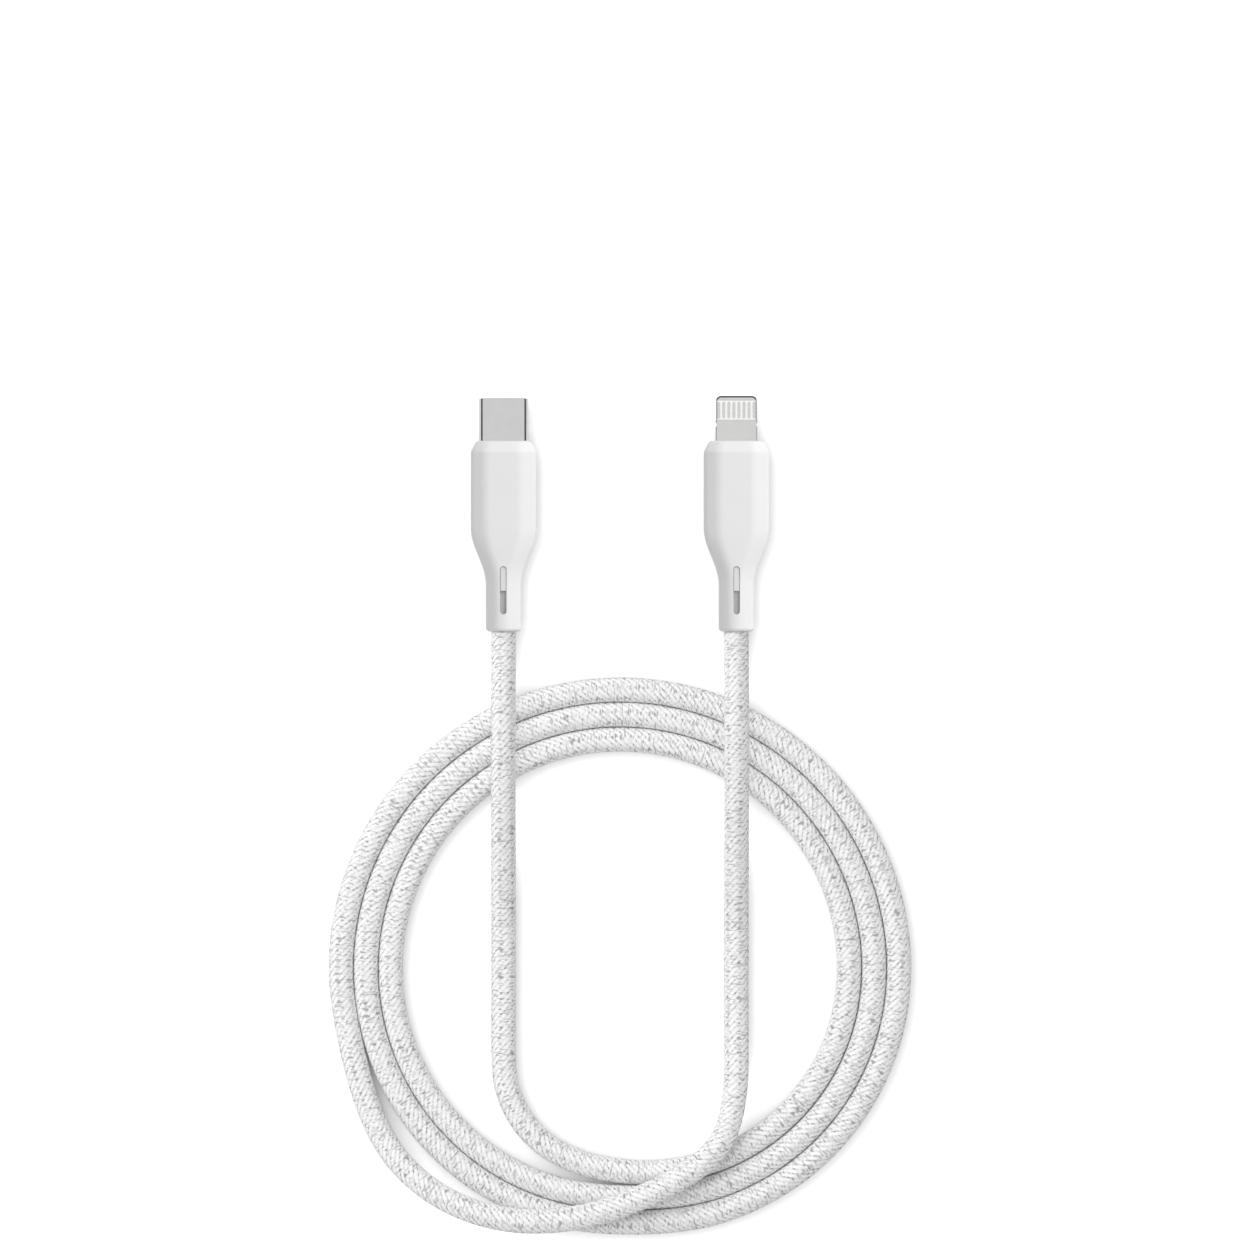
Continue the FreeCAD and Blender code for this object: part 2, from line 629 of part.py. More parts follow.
def turn_in():
    """Centre of the turn-in arc, which is tangent to the type-C lead, and its angle where it joins the ring."""
    ring_x = COIL_INNER_RADIUS - COIL_INNER_DROP
    centre_x = TYPE_C_X + COIL_TURN_IN
    aside = centre_x - ring_x
    centre_y = -math.sqrt((COIL_INNER_DROP - COIL_TURN_IN) ** 2 - aside**2)
    return (centre_x, centre_y), math.degrees(math.atan2(centre_y, aside)) + 360


def coil_edges():
    """Flat spiral: upper half turns about one middle, joined underneath by pairs of quarter turns."""
    radius = COIL_INNER_RADIUS
    drop = COIL_INNER_DROP
    centre, joint = turn_in()
    inner_end = coil_ends()[0]
    edges = [Part.LineSegment(inner_end, coil_point(TYPE_C_X, centre[1])).toShape()]
    edges.append(flat_arc(centre, COIL_TURN_IN, 180, joint - 180))
    edges.append(flat_arc((radius - drop, 0), drop, joint, 360 - joint))
    for turn in range(COIL_TURNS):
        edges.append(flat_arc((0, 0), radius, 0, 180))
        if turn < COIL_TURNS - 1:
            next_radius = radius + COIL_PITCH
            drop += COIL_PITCH
            left = coil_point(drop - radius, -drop)
            right = coil_point(next_radius - drop, -drop)
            edges.append(flat_arc((drop - radius, 0), drop, 180, 90))
            edges.append(Part.LineSegment(left, right).toShape())
            edges.append(flat_arc((next_radius - drop, 0), drop, 270, 90))
            radius = next_radius
    edges.append(flat_arc((0, 0), radius, 180, COIL_END_ANGLE))
    outer_end = coil_ends()[1]
    edges.append(Part.LineSegment(edges[-1].Vertexes[-1].Point, outer_end).toShape())
    return edges


def coil_end_heading():
    """The way the cord points where it leaves the coil."""
    angle = math.radians(270 + COIL_END_ANGLE)
    return Vector(math.cos(angle), math.sin(angle), 0)


def coil_ends():
    """Where the type-C lead meets the coil, and where the phone lead does."""
    inner = coil_point(TYPE_C_X, turn_in()[0][1] + CORD_DIAMETER)
    angle = math.radians(180 + COIL_END_ANGLE)
    outer_radius = COIL_INNER_RADIUS + (COIL_TURNS - 1) * COIL_PITCH
    outer = coil_point(outer_radius * math.cos(angle), outer_radius * math.sin(angle))
    return inner, outer + coil_end_heading() * CORD_DIAMETER


def over_the_coil(x, rest):
    """From a plug's neck over the coil's upper turns and down inside them, to the given height."""
    return [
        coil_point(x, LEAD_REACH, AXIS_HEIGHT),
        coil_point(x, EXIT_BEND, AXIS_HEIGHT),
        coil_point(x, HUMP_NEAR, CROSSING_HEIGHT),
        coil_point(x, HUMP_FAR, CROSSING_HEIGHT),
        coil_point(x, LANDING, rest),
    ]


def type_c_lead_points():
    """Out of the type-C plug, over the top of the coil and straight down to the coil's inner end."""
    return over_the_coil(TYPE_C_X, CORD_RADIUS) + [coil_ends()[0]]


def phone_lead_points():
    """Up off the coil's outer end, across its lower turns, and over its upper ones to the phone plug."""
    outer_end = coil_ends()[1]
    return [
        outer_end,
        outer_end + coil_end_heading() * OUTER_RUN,
        coil_point(-33.0, -36.6, 4.6),
        coil_point(-20.5, -41.9, CROSSING_HEIGHT),
        coil_point(-6.5, -41.6, CROSSING_HEIGHT),
        coil_point(7.0, -36.6, CROSSING_HEIGHT),
        coil_point(15.5, -29.0, CROSSING_HEIGHT),
        coil_point(PHONE_X, -18.0, 5.0),
        coil_point(PHONE_X, -5.0, CORD_REST),
    ] + over_the_coil(PHONE_X, CORD_REST)[::-1]


def lead_edges(points, name):
    """Straight runs joined by tangent arcs as large as the runs allow."""
    edges = []
    radii = []
    start = points[0]
    for before, corner, after in zip(points, points[1:], points[2:]):
        into = (corner - before).normalize()
        out = (after - corner).normalize()
        reach = ARC_SHARE * min((corner - before).Length, (after - corner).Length)
        half_turn = into.getAngle(out) / 2
        radius = reach / math.tan(half_turn)
        middle = corner + (out - into).normalize() * (radius / math.cos(half_turn) - radius)
        arc_start = corner - into * reach
        arc_end = corner + out * reach
        edges.append(Part.LineSegment(start, arc_start).toShape())
        edges.append(Part.Arc(arc_start, middle, arc_end).toShape())
        radii.append(round(radius, 1))
        start = arc_end
    edges.append(Part.LineSegment(start, points[-1]).toShape())
    print(name, "bend radii:", radii)
    return edges


def cord_tube(edges, name):
    """One unbroken tube along the edges; its volume is checked against section times length."""
    path = Part.Wire(edges)
    first = edges[0]
    start = first.Vertexes[0].Point
    heading = first.tangentAt(first.FirstParameter)
    profile = polygon_wire(CORD_SIDES, CORD_DIAMETER, start, heading)
    tube = path.makePipeShell([profile], True, False)
    expected = Part.Face(profile).Area * path.Length
    print(name, "length:", round(path.Length, 1))
    print(name, "volume over section times length:", round(tube.Volume / expected, 4))
    return tube


def print_least_gap(edges):
    """Least clear gap of the coil to itself, between points that lie over three diameters apart along it."""
    path = Part.Wire(edges)
    spacing = CORD_DIAMETER / 2
    points = path.discretize(Distance=spacing)
    skip = int(3 * CORD_DIAMETER / spacing) + 1
    least = min(a.distanceToPoint(b) for i, a in enumerate(points) for b in points[i + skip:])
    print("coil least gap to itself:", round(least - CORD_DIAMETER, 3))


def cord_nodes():
    coil = coil_edges()
    print_least_gap(coil)
    return {
        "type_c_lead": cord_tube(lead_edges(type_c_lead_points(), "type_c_lead"), "type_c_lead"),
        "cord_coil": cord_tube(coil, "cord_coil"),
        "phone_lead": cord_tube(lead_edges(phone_lead_points(), "phone_lead"), "phone_lead"),
    }


# --- Export ---------------------------------------------------------------------------------------------------
def all_nodes():
    nodes = {name: plug_at(shape, TYPE_C_X) for name, shape in type_c_plug().items()}
    nodes.update({name: plug_at(shape, PHONE_X) for name, shape in phone_plug().items()})
    nodes.update(cord_nodes())
    return nodes


os.makedirs("parts", exist_ok=True)
for node_name, node_shape in all_nodes().items():
    node_shape.exportStep("parts/" + node_name + ".step")
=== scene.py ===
import math

import bmesh
import bpy
import numpy as np
from mathutils import Matrix, Vector


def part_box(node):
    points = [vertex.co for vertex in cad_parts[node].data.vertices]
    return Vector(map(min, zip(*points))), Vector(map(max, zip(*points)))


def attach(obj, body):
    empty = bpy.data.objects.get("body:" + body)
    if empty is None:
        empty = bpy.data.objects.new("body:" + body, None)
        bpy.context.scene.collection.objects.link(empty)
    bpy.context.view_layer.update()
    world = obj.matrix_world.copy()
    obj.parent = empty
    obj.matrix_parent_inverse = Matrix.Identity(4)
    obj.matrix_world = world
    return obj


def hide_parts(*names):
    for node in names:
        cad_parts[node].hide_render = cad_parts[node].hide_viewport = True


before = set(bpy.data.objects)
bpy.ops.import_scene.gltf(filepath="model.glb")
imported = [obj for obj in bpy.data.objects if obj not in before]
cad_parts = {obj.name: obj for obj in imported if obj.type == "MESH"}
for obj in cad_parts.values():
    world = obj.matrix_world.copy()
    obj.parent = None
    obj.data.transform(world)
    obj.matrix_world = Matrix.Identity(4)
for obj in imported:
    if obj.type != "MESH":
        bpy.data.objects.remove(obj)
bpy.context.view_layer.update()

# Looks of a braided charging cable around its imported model, in metres and in the model's own frame: +Z up,
# the cable lies on the floor z = 0, and both plugs point along +Y. Sizes of the route and of the mouldings
# repeat the source's.

MM = 0.001
BODY = "root"

# --- Layout, as in the source ---------------------------------------------------------------------
PLUG_SPACING = 38.8 * MM
TYPE_C_X = -PLUG_SPACING / 2
PHONE_X = PLUG_SPACING / 2
FRONT_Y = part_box("type_c_housing")[1].y     # front faces of both housings
HOUSING_LENGTH = 31.75 * MM
AXIS_HEIGHT = 3.2 * MM        # of the plugs' axes above the floor
LEAD_REACH = 56.25 * MM       # from the coil's middle to the housings' back ends
COIL_Y = FRONT_Y - HOUSING_LENGTH - LEAD_REACH

# --- Camera, floor and light ----------------------------------------------------------------------
VIEW_WIDTH = 206.67 * MM      # at the height of the plugs' axes
VIEW_MIDDLE_Y = -17.67 * MM
LENS = 200.0
SENSOR = 36.0
SKY_LEVEL = 0.62
# The sky that metal mirrors instead, by height from 0 at the horizon to 1 overhead: where its dark band
# starts to fade, where it has faded, the band's level and the level above it.
MIRRORED_SKY = (0.45, 0.7, 0.1, 0.82)
LAMP_SIZE = 1.1
# Place and watts of each lamp: the cord is lit from the upper left and the plugs from the upper right.
COIL_LAMP = ((-0.45, 0.35, 0.75), 5.6)
LEAD_LAMP = ((-0.55, 0.32, 0.68), 5.0)
PLUG_LAMP = ((0.58, 0.50, 0.60), 7.4)
FLOOR_HALF = 1.5              # half of the floor's side
FLOOR_GREY = 0.8
FLOOR_GLOW = 0.62             # added where the camera sees the floor, so that it is white there
MIRRORED_GLOW = 0.2           # added where metal mirrors it
CONTACT_REACH = 3 * MM        # how near a piece has to be to dim the floor's glow, as a painted contact shadow

# --- Cord -----------------------------------------------------------------------------------------
CORD_DIAMETER = 4.15 * MM
CORD_RADIUS = CORD_DIAMETER / 2
CORE_RADIUS = 1.8 * MM
REST = CORD_RADIUS            # height of the cord's axis where it lies on the floor
CROSSING = 6.6 * MM           # height of its axis where it lies on another turn
COIL_PITCH = CORD_DIAMETER
COIL_RADIUS = 38.25 * MM      # of the innermost upper half turn
COIL_DROP = 34.0 * MM         # radius of the innermost quarter turns underneath
COIL_TURNS = 3
TURN_IN = 17.5 * MM           # radius of the bend from the type-C lead into the coil
LAST_ANGLE = 195              # degrees round the coil where the outermost turn starts to close in
POINTS_PER_TURN = 24
CARRIERS = 12                 # yarns each way round the braid
BRAID_PITCH = 14.0 * MM       # one yarn's way along the cord in one turn round it
CELL_STEPS = 5                # mesh steps across one yarn
AROUND = CARRIERS * CELL_STEPS
RING_STEP = BRAID_PITCH / CARRIERS / CELL_STEPS
YARN_RELIEF = 0.14 * MM
YARN_FULLNESS = 0.7           # power of a yarn's round section: the smaller, the flatter its top
YARN_DIP = 0.5                # share of its height that a right-handed yarn loses under a left-handed one
LEFT_HEIGHT = 0.55            # of the left-handed yarns where they run underneath
DOT_EVERY = 4                 # crossings from one place where a left-handed yarn comes up to the next
DOT_EDGE = (0.35, 0.75)       # of the dots' wave: where such a yarn starts to rise and where it is up
STRAIGHT_LEAD = 50 * MM       # of the cord behind each plug, with a sleeve of its own
COIL_SLEEVES = 3

# Looks of the yarns. Each set of four is two values of a pattern and the tones, or shares of a tone, that
# go with them.
FLECKS_RIGHT = (0.52, 0.66, 0.98, 0.56)
FLECKS_LEFT = (0.46, 0.61, 0.96, 0.40)
# GAP_SHADE darkens the low parts of the relief as painted shade.
GAP_SHADE = (0.3, 0.75, 0.84, 1.0)
FIBRE_SHADE = (0.3, 0.7, 0.92, 1.05)
FLECK_SCALE = 1.2
FIBRE_SCALE = 1.1
FIBRE_COUNT = 6.0             # fibres across one yarn
YARN_SPREAD = 7.3             # how far apart neighbouring yarns lie in the flecks' noise
YARN_SHIFT = 2.63             # and how far along it each starts after the last
LEFT_SEED = 40.0              # sets the left-handed yarns' patterns apart
FIBRE_RELIEF = 0.35           # of the fibres, as a share of a yarn's, in the bump
BRAID_BUMP = 0.06 * MM
BRAID_BUMP_STRENGTH = 0.55

# --- Housing, in millimetres and in a plug's own frame: axis on Y, front face at y = 0 ------------
# Half width, half thickness, half of the top's and of the sides' facets, and how far each long edge is
# rounded.
BODY_SECTION = (5.45, 3.2, 3.0, 1.8, 0.85)
NECK_SECTION = (2.95, 2.95, 1.05, 1.3, 1.0)
TAPER_START = 14.5
TAPER_END = 24.0
TAPER_STEPS = 28
BODY_LOOPS = (6.0, 10.0)      # depths of plain loops on the body, and of the one on the neck
NECK_LOOP = 27.5
EDGE_SHARE = 0.45             # the most of a side's length that the rounding of each end takes
EDGE_STEPS = 5
# Depth behind the front face and inset of each loop at the two ends.
NOSE = ((0.0, 1.22), (0.05, 1.06), (0.16, 0.9), (0.32, 0.77), (1.5, 0.15), (1.72, 0.07), (1.92, 0.02),
        (2.1, 0.0))
TAIL = ((31.2, 0.0), (31.34, 0.03), (31.47, 0.09), (31.57, 0.17), (31.65, 0.27), (31.72, 0.4),
        (31.75, 0.54))
FRONT_WALL = 1.2
SIDE_WALL = 0.7
MOULD_END = 15.05
BOSS_SIDES = 8
BOSS_WIDTH = 5.7
BOSS_START = 13.85            # before the mould's end, so that it opens into the cavity
BOSS_END = 19.85
BORE_SIDES = 24
BORE_WIDTH = 4.2
OVERLAP = 1.0                 # of a cutter beyond the surface that it opens
SLOT_WIDTH = 1.06
SLOT_FRONT = 20.9
SLOT_BACK = 28.9
SLOT_DEPTH = 0.65
INLAY_BACK = 25.0
INLAY_DROP = 0.12
INLAY_GAP = 0.05
INLAY_CORNER = 0.05
INLAY_RIM = ((0.06, 0.0), (0.02, 0.02), (0.0, 0.06))     # depth under its top and inset of each loop
NEAR = 0.01                   # slack in picking out the slot's faces

# --- Connectors, in the same frame ----------------------------------------------------------------
TUBE_SIZE = (8.25, 2.4)
TUBE_WALL = 0.25
TUBE_REACH = 7.1
TAIL_REACH = 2.6              # of both connectors behind the front face
LIP_STEPS = 8
END_STEPS = 16                # in the half circle at either end of a racetrack
HOLE_PLAY = 0.1               # of a housing's hole round its connector
TONGUE_SIZE = (6.9, 1.5)
TONGUE_REACH = 7.52
TONGUE_CORNER = 0.9
TONGUE_ROUND = 0.3
TONGUE_BACK_CORNER = 0.05
RIM_STEPS = 5
TIP_BEVEL = (0.3, 0.23)       # its length and height
BASE_SIZE = (7.2, 1.7)
BASE_REACH = 3.4
BASE_RIM = ((0.12, 0.0), (0.03, 0.04), (0.0, 0.12))      # distance behind its front and inset of each loop
NOTCH_WIDTH = 0.9
NOTCH_DEPTH = 0.3
NOTCH_REACH = 2.7
WINDOW = (3.5, 6.77, 6.4)     # back, front and width
WINDOW_CORNER = 0.25
THROUGH = 2.0                 # half height of a cutter that goes right through the tongue
CORE_SIZE = (5.6, 0.8)
CORE_GAP = 0.02
PAD_SEAT = 0.71
PAD_TOP = 0.76
PAD_COUNT = 8
PAD_PITCH = 0.84
PAD_SIZE = (0.42, 2.7)
PAD_RIM = (0.02, 0.03)        # height and inset of its softened edge

# --- Finishes -------------------------------------------------------------------------------------
PATCH_EDGE = (0.35, 0.65)     # values of a noise between which a dark patch fades into the plain colour
GRAIN_EDGE = (0.3, 0.7)       # and between which roughness goes from its least to its most
GLOSS_SPREAD = 0.05           # of the roughness either side of its middle
# Kinds of part that each housing hides, as their nodes' names end.
SEALED_PARTS = ("inner_mould", "shield_can", "board", "board_parts", "wires", "crimp_ferrule", "cord_end")


# --- Small helpers --------------------------------------------------------------------------------
def linked(name, data):
    """A new object of the data, in the scene."""
    made = bpy.data.objects.new(name, data)
    bpy.context.scene.collection.objects.link(made)
    return made


def keep(piece, slot, *nodes):
    """The piece rides with the object and stands for the nodes; the slot is not used."""
    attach(piece, BODY)
    if nodes:
        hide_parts(*nodes)
    return piece


class Graph:
    """A material's nodes, made by short calls. Values may be numbers, colours or another node's socket."""

    def __init__(self, name):
        self.material = bpy.data.materials.new(name)
        self.material.use_nodes = True
        self.tree = self.material.node_tree
        self.shader = self.tree.nodes["Principled BSDF"]

    def put(self, socket, value):
        """The value as the socket's own, or a link from the value if it is a socket."""
        if isinstance(value, bpy.types.NodeSocket):
            self.tree.links.new(value, socket)
        else:
            socket.default_value = value

    def node(self, kind, inputs, output=0, **settings):
        """A new node with those inputs and settings, known by one of its outputs."""
        made = self.tree.nodes.new(kind)
        for key, value in settings.items():
            setattr(made, key, value)
        for key, value in inputs.items():
            self.put(made.inputs[key], value)
        return made.outputs[output]

    def math(self, operation, *values):
        return self.node("ShaderNodeMath", dict(enumerate(values)), operation=operation)

    def steps(self, value, low, high, to_low=0.0, to_high=1.0):
        """The value mapped smoothly from low..high to to_low..to_high."""
        inputs = {0: value, 1: low, 2: high, 3: to_low, 4: to_high}
        return self.node("ShaderNodeMapRange", inputs, interpolation_type="SMOOTHSTEP")

    def mix(self, share, first, second):
        """A colour that goes from the first to the second with the share."""
        inputs = {0: share, 6: first, 7: second}
        return self.node("ShaderNodeMix", inputs, output=2, data_type="RGBA")

    def noise(self, vector, scale, detail=2.0, roughness=0.5):
        inputs = {"Vector": vector, "Scale": scale, "Detail": detail, "Roughness": roughness}
        return self.node("ShaderNodeTexNoise", inputs)

    def place(self):
        """The surface point in the object's frame, in metres."""
        return self.node("ShaderNodeTexCoord", {}, output=3)

    def set(self, **inputs):
        """The shader's inputs, with underscores for spaces; gives the material."""
        for key, value in inputs.items():
            self.put(self.shader.inputs[key.replace("_", " ")], value)
        return self.material

    def bump(self, height, depth, strength=1.0):
        """Relief on the surface, as deep as given where the height goes from 0 to 1."""
        inputs = {"Height": height, "Distance": depth, "Strength": strength}
        self.put(self.shader.inputs["Normal"], self.node("ShaderNodeBump", inputs))


def grey(value):
    """An even colour of that level."""
    return (value, value, value, 1.0)


# --- Camera ---------------------------------------------------------------------------------------
def make_camera():
    """A long lens straight above the cable."""
    data = bpy.data.cameras.new("camera")
    data.lens = LENS
    data.sensor_width = SENSOR
    data.clip_start = 10 * MM
    camera = linked("camera", data)
    camera.location = (0.0, VIEW_MIDDLE_Y, AXIS_HEIGHT + VIEW_WIDTH * LENS / SENSOR)
    bpy.context.scene.camera = camera


# --- Cord -----------------------------------------------------------------------------------------
def coil_point(x, y, z=REST):
    """A point given from the coil's middle."""
    return Vector((x, y + COIL_Y, z))


def arc_points(centre, radius, start, end):
    """Control points on the floor, just outside an arc that their spline follows; angles are in degrees."""
    step = 360 / POINTS_PER_TURN
    count = max(1, round((end - start) / step))
    reach = radius / math.cos(math.radians(step / 2))
    points = []
    for index in range(count):
        angle = math.radians(start + (end - start) * (index + 0.5) / count)
        points.append(coil_point(centre[0] + reach * math.cos(angle), centre[1] + reach * math.sin(angle)))
    return points


def coil_points():
    """The coil's turns: upper half turns about one middle, joined underneath by pairs of quarter turns."""
    ring_x = COIL_RADIUS - COIL_DROP
    centre_x = TYPE_C_X + TURN_IN
    aside = centre_x - ring_x
    centre_y = -math.sqrt((COIL_DROP - TURN_IN) ** 2 - aside**2)
    joint = math.degrees(math.atan2(centre_y, aside)) + 360
    points = arc_points((centre_x, centre_y), TURN_IN, 180, joint)
    points += arc_points((ring_x, 0), COIL_DROP, joint, 360)
    radius, drop = COIL_RADIUS, COIL_DROP
    for turn in range(COIL_TURNS):
        points += arc_points((0, 0), radius, 0, 180)
        if turn < COIL_TURNS - 1:
            drop += COIL_PITCH
            points += arc_points((drop - radius, 0), drop, 180, 270)
            radius += COIL_PITCH
            points += arc_points((radius - drop, 0), drop, 270, 360)
    return points + arc_points((0, 0), radius, 180, LAST_ANGLE)


def over_the_coil(x):
    """From a plug's neck over the coil's upper turns and down inside them."""
    return [
        coil_point(x, LEAD_REACH, AXIS_HEIGHT),
        coil_point(x, 51.6 * MM, AXIS_HEIGHT),
        coil_point(x, 44.4 * MM, CROSSING),
        coil_point(x, 30.2 * MM, CROSSING),
        coil_point(x, 9.6 * MM),
    ]


def cord_points():
    """The whole cord's control points, from the type-C plug to the phone plug."""
    outer_turn = [
        coil_point(-41.4 * MM, -26.6 * MM),
        coil_point(-33.0 * MM, -36.6 * MM, 4.6 * MM),
        coil_point(-20.5 * MM, -41.9 * MM, CROSSING),
        coil_point(-6.5 * MM, -41.6 * MM, CROSSING),
        coil_point(7.0 * MM, -36.6 * MM, CROSSING),
        coil_point(16.6 * MM, -30.2 * MM, CROSSING),
        coil_point(PHONE_X, -21.5 * MM, 5.0 * MM),
        coil_point(PHONE_X, -8.0 * MM),
    ]
    straight = [coil_point(TYPE_C_X, -5.0 * MM)]
    return over_the_coil(TYPE_C_X) + straight + coil_points() + outer_turn + over_the_coil(PHONE_X)[::-1]


def cord_curve(points):
    """One open spline whose control points are the route's."""
    data = bpy.data.curves.new("cord_core", "CURVE")
    data.dimensions = "3D"
    data.resolution_u = 24
    spline = data.splines.new("NURBS")
    spline.points.add(len(points) - 1)
    for target, point in zip(spline.points, points):
        target.co = (*point, 1.0)
    spline.order_u = 3
    spline.use_endpoint_u = True
    return linked("cord_core", data)


def centreline(curve, step):
    """Points along the spline, about the given step apart, and its length."""
    bpy.context.view_layer.update()
    mesh = bpy.data.meshes.new_from_object(curve)
    raw = np.array([v.co for v in mesh.vertices])
    bpy.data.meshes.remove(mesh)
    along = np.concatenate([[0], np.cumsum(np.linalg.norm(np.diff(raw, axis=0), axis=1))])
    count = int(along[-1] / step)
    even = np.linspace(0, along[-1], count + 1)
    return np.stack([np.interp(even, along, raw[:, axis]) for axis in range(3)], axis=1), along[-1]


def dots(right, left):
    """1 where a left-handed yarn comes up over a right-handed one, and 0 elsewhere."""
    wave = np.cos(2 * np.pi * (left - 0.5 + np.floor(right)) / DOT_EVERY)
    return np.clip((wave - DOT_EDGE[0]) / (DOT_EDGE[1] - DOT_EDGE[0]), 0, 1)


def braid_height(right, left):
    """Relief of the braid, 0 to 1, from the two families' yarn coordinates."""
    over = dots(right, left)
    high_right = np.abs(np.sin(np.pi * right)) ** YARN_FULLNESS * (1 - YARN_DIP * over)
    high_left = np.abs(np.sin(np.pi * left)) ** YARN_FULLNESS * (LEFT_HEIGHT + (1 - LEFT_HEIGHT) * over)
    return np.maximum(high_right, high_left)


def sleeve_vertices(points, rings, travel):
    """Rows of points on the braid's surface round the centreline's rings."""
    tangents = np.gradient(points, axis=0)[rings]
    tangents /= np.linalg.norm(tangents, axis=1)[:, None]
    sides = np.cross(tangents, [0, 0, 1])
    sides /= np.linalg.norm(sides, axis=1)[:, None]
    ups = np.cross(sides, tangents)
    turn = np.arange(AROUND) / AROUND
    right = CARRIERS * turn[None, :] + travel
    left = CARRIERS * turn[None, :] - travel
    reach = CORD_RADIUS - YARN_RELIEF * (1 - braid_height(right, left))
    angle = 2 * np.pi * turn
    cosine, sine = np.cos(angle)[None, :, None], np.sin(angle)[None, :, None]
    outwards = sides[:, None, :] * cosine + ups[:, None, :] * sine
    return (points[rings][:, None, :] + outwards * reach[:, :, None]).reshape(-1, 3)


def add_weave(mesh, row, column, travel):
    """Each corner's two yarn coordinates as a UV map for the material; the closed ends have none."""
    turns = np.stack([column, column + 1, column + 1, column], axis=-1).reshape(-1) / CELL_STEPS
    rows = np.stack([row, row, row + 1, row + 1], axis=-1).reshape(-1)
    travels = travel[rows, 0]
    weave = np.stack([turns + travels, turns - travels], axis=-1).ravel()
    layer = mesh.uv_layers.new(name="weave")
    layer.data.foreach_set("uv", np.concatenate([weave, np.zeros(4 * AROUND)]))


def sleeve(points, first, last, name, material):
    """The braid between two rings of the centreline, as a displaced tube with closed ends."""
    rings = np.arange(first, last + 1)
    travel = CARRIERS * rings[:, None] * RING_STEP / BRAID_PITCH
    vertices = sleeve_vertices(points, rings, travel)
    row, column = np.meshgrid(np.arange(len(rings) - 1), np.arange(AROUND), indexing="ij")
    following = (column + 1) % AROUND
    quads = np.stack([row * AROUND + column, row * AROUND + following,
                      (row + 1) * AROUND + following, (row + 1) * AROUND + column], axis=-1).reshape(-1, 4)
    ends = [np.arange(AROUND)[::-1], np.arange(AROUND) + (len(rings) - 1) * AROUND]
    starts = np.concatenate([np.arange(len(quads)) * 4, quads.size + np.array([0, AROUND])])
    mesh = bpy.data.meshes.new(name)
    mesh.vertices.add(len(vertices))
    mesh.vertices.foreach_set("co", vertices.ravel())
    mesh.loops.add(quads.size + 2 * AROUND)
    mesh.loops.foreach_set("vertex_index", np.concatenate([quads.ravel(), *ends]).astype(np.int32))
    mesh.polygons.add(len(starts))
    mesh.polygons.foreach_set("loop_start", starts.astype(np.int32))
    mesh.update(calc_edges=True)
    add_weave(mesh, row, column, travel)
    mesh.shade_smooth()
    mesh.materials.append(material)
    return linked(name, mesh)


def yarn_looks(graph, across, along, seed):
    """Ridge, fleck and fibre patterns of one family of yarns."""
    number = graph.math("FLOORED_MODULO", graph.math("FLOOR", across), float(CARRIERS))
    number = graph.math("ADD", number, seed)
    middle = graph.math("SUBTRACT", graph.math("FRACT", across), 0.5)
    ridge = graph.math("COSINE", graph.math("MULTIPLY", middle, math.pi))
    apart = graph.math("MULTIPLY", number, YARN_SPREAD)
    shifted = graph.math("MULTIPLY_ADD", number, YARN_SHIFT, along)
    run = graph.node("ShaderNodeCombineXYZ", {0: apart, 1: shifted, 2: 0.0})
    fleck = graph.noise(run, FLECK_SCALE, detail=3.0, roughness=0.7)
    finely = graph.math("MULTIPLY", across, FIBRE_COUNT)
    spun = graph.node("ShaderNodeCombineXYZ", {0: finely, 1: along, 2: number})
    return ridge, fleck, graph.noise(spun, FIBRE_SCALE)


def yarn_heights(graph, right, left, ridge_right, ridge_left):
    """The same relief as the sleeve's, for each family, from the yarn coordinates and the ridges."""
    phase = graph.math("ADD", graph.math("SUBTRACT", left, 0.5), graph.math("FLOOR", right))
    wave = graph.math("COSINE", graph.math("MULTIPLY", phase, 2 * math.pi / DOT_EVERY))
    over = graph.node("ShaderNodeMapRange", {0: wave, 1: DOT_EDGE[0], 2: DOT_EDGE[1], 3: 0.0, 4: 1.0})
    dip = graph.math("MULTIPLY_ADD", over, -YARN_DIP, 1.0)
    rise = graph.math("MULTIPLY_ADD", over, 1 - LEFT_HEIGHT, LEFT_HEIGHT)
    return graph.math("MULTIPLY", ridge_right, dip), graph.math("MULTIPLY", ridge_left, rise)


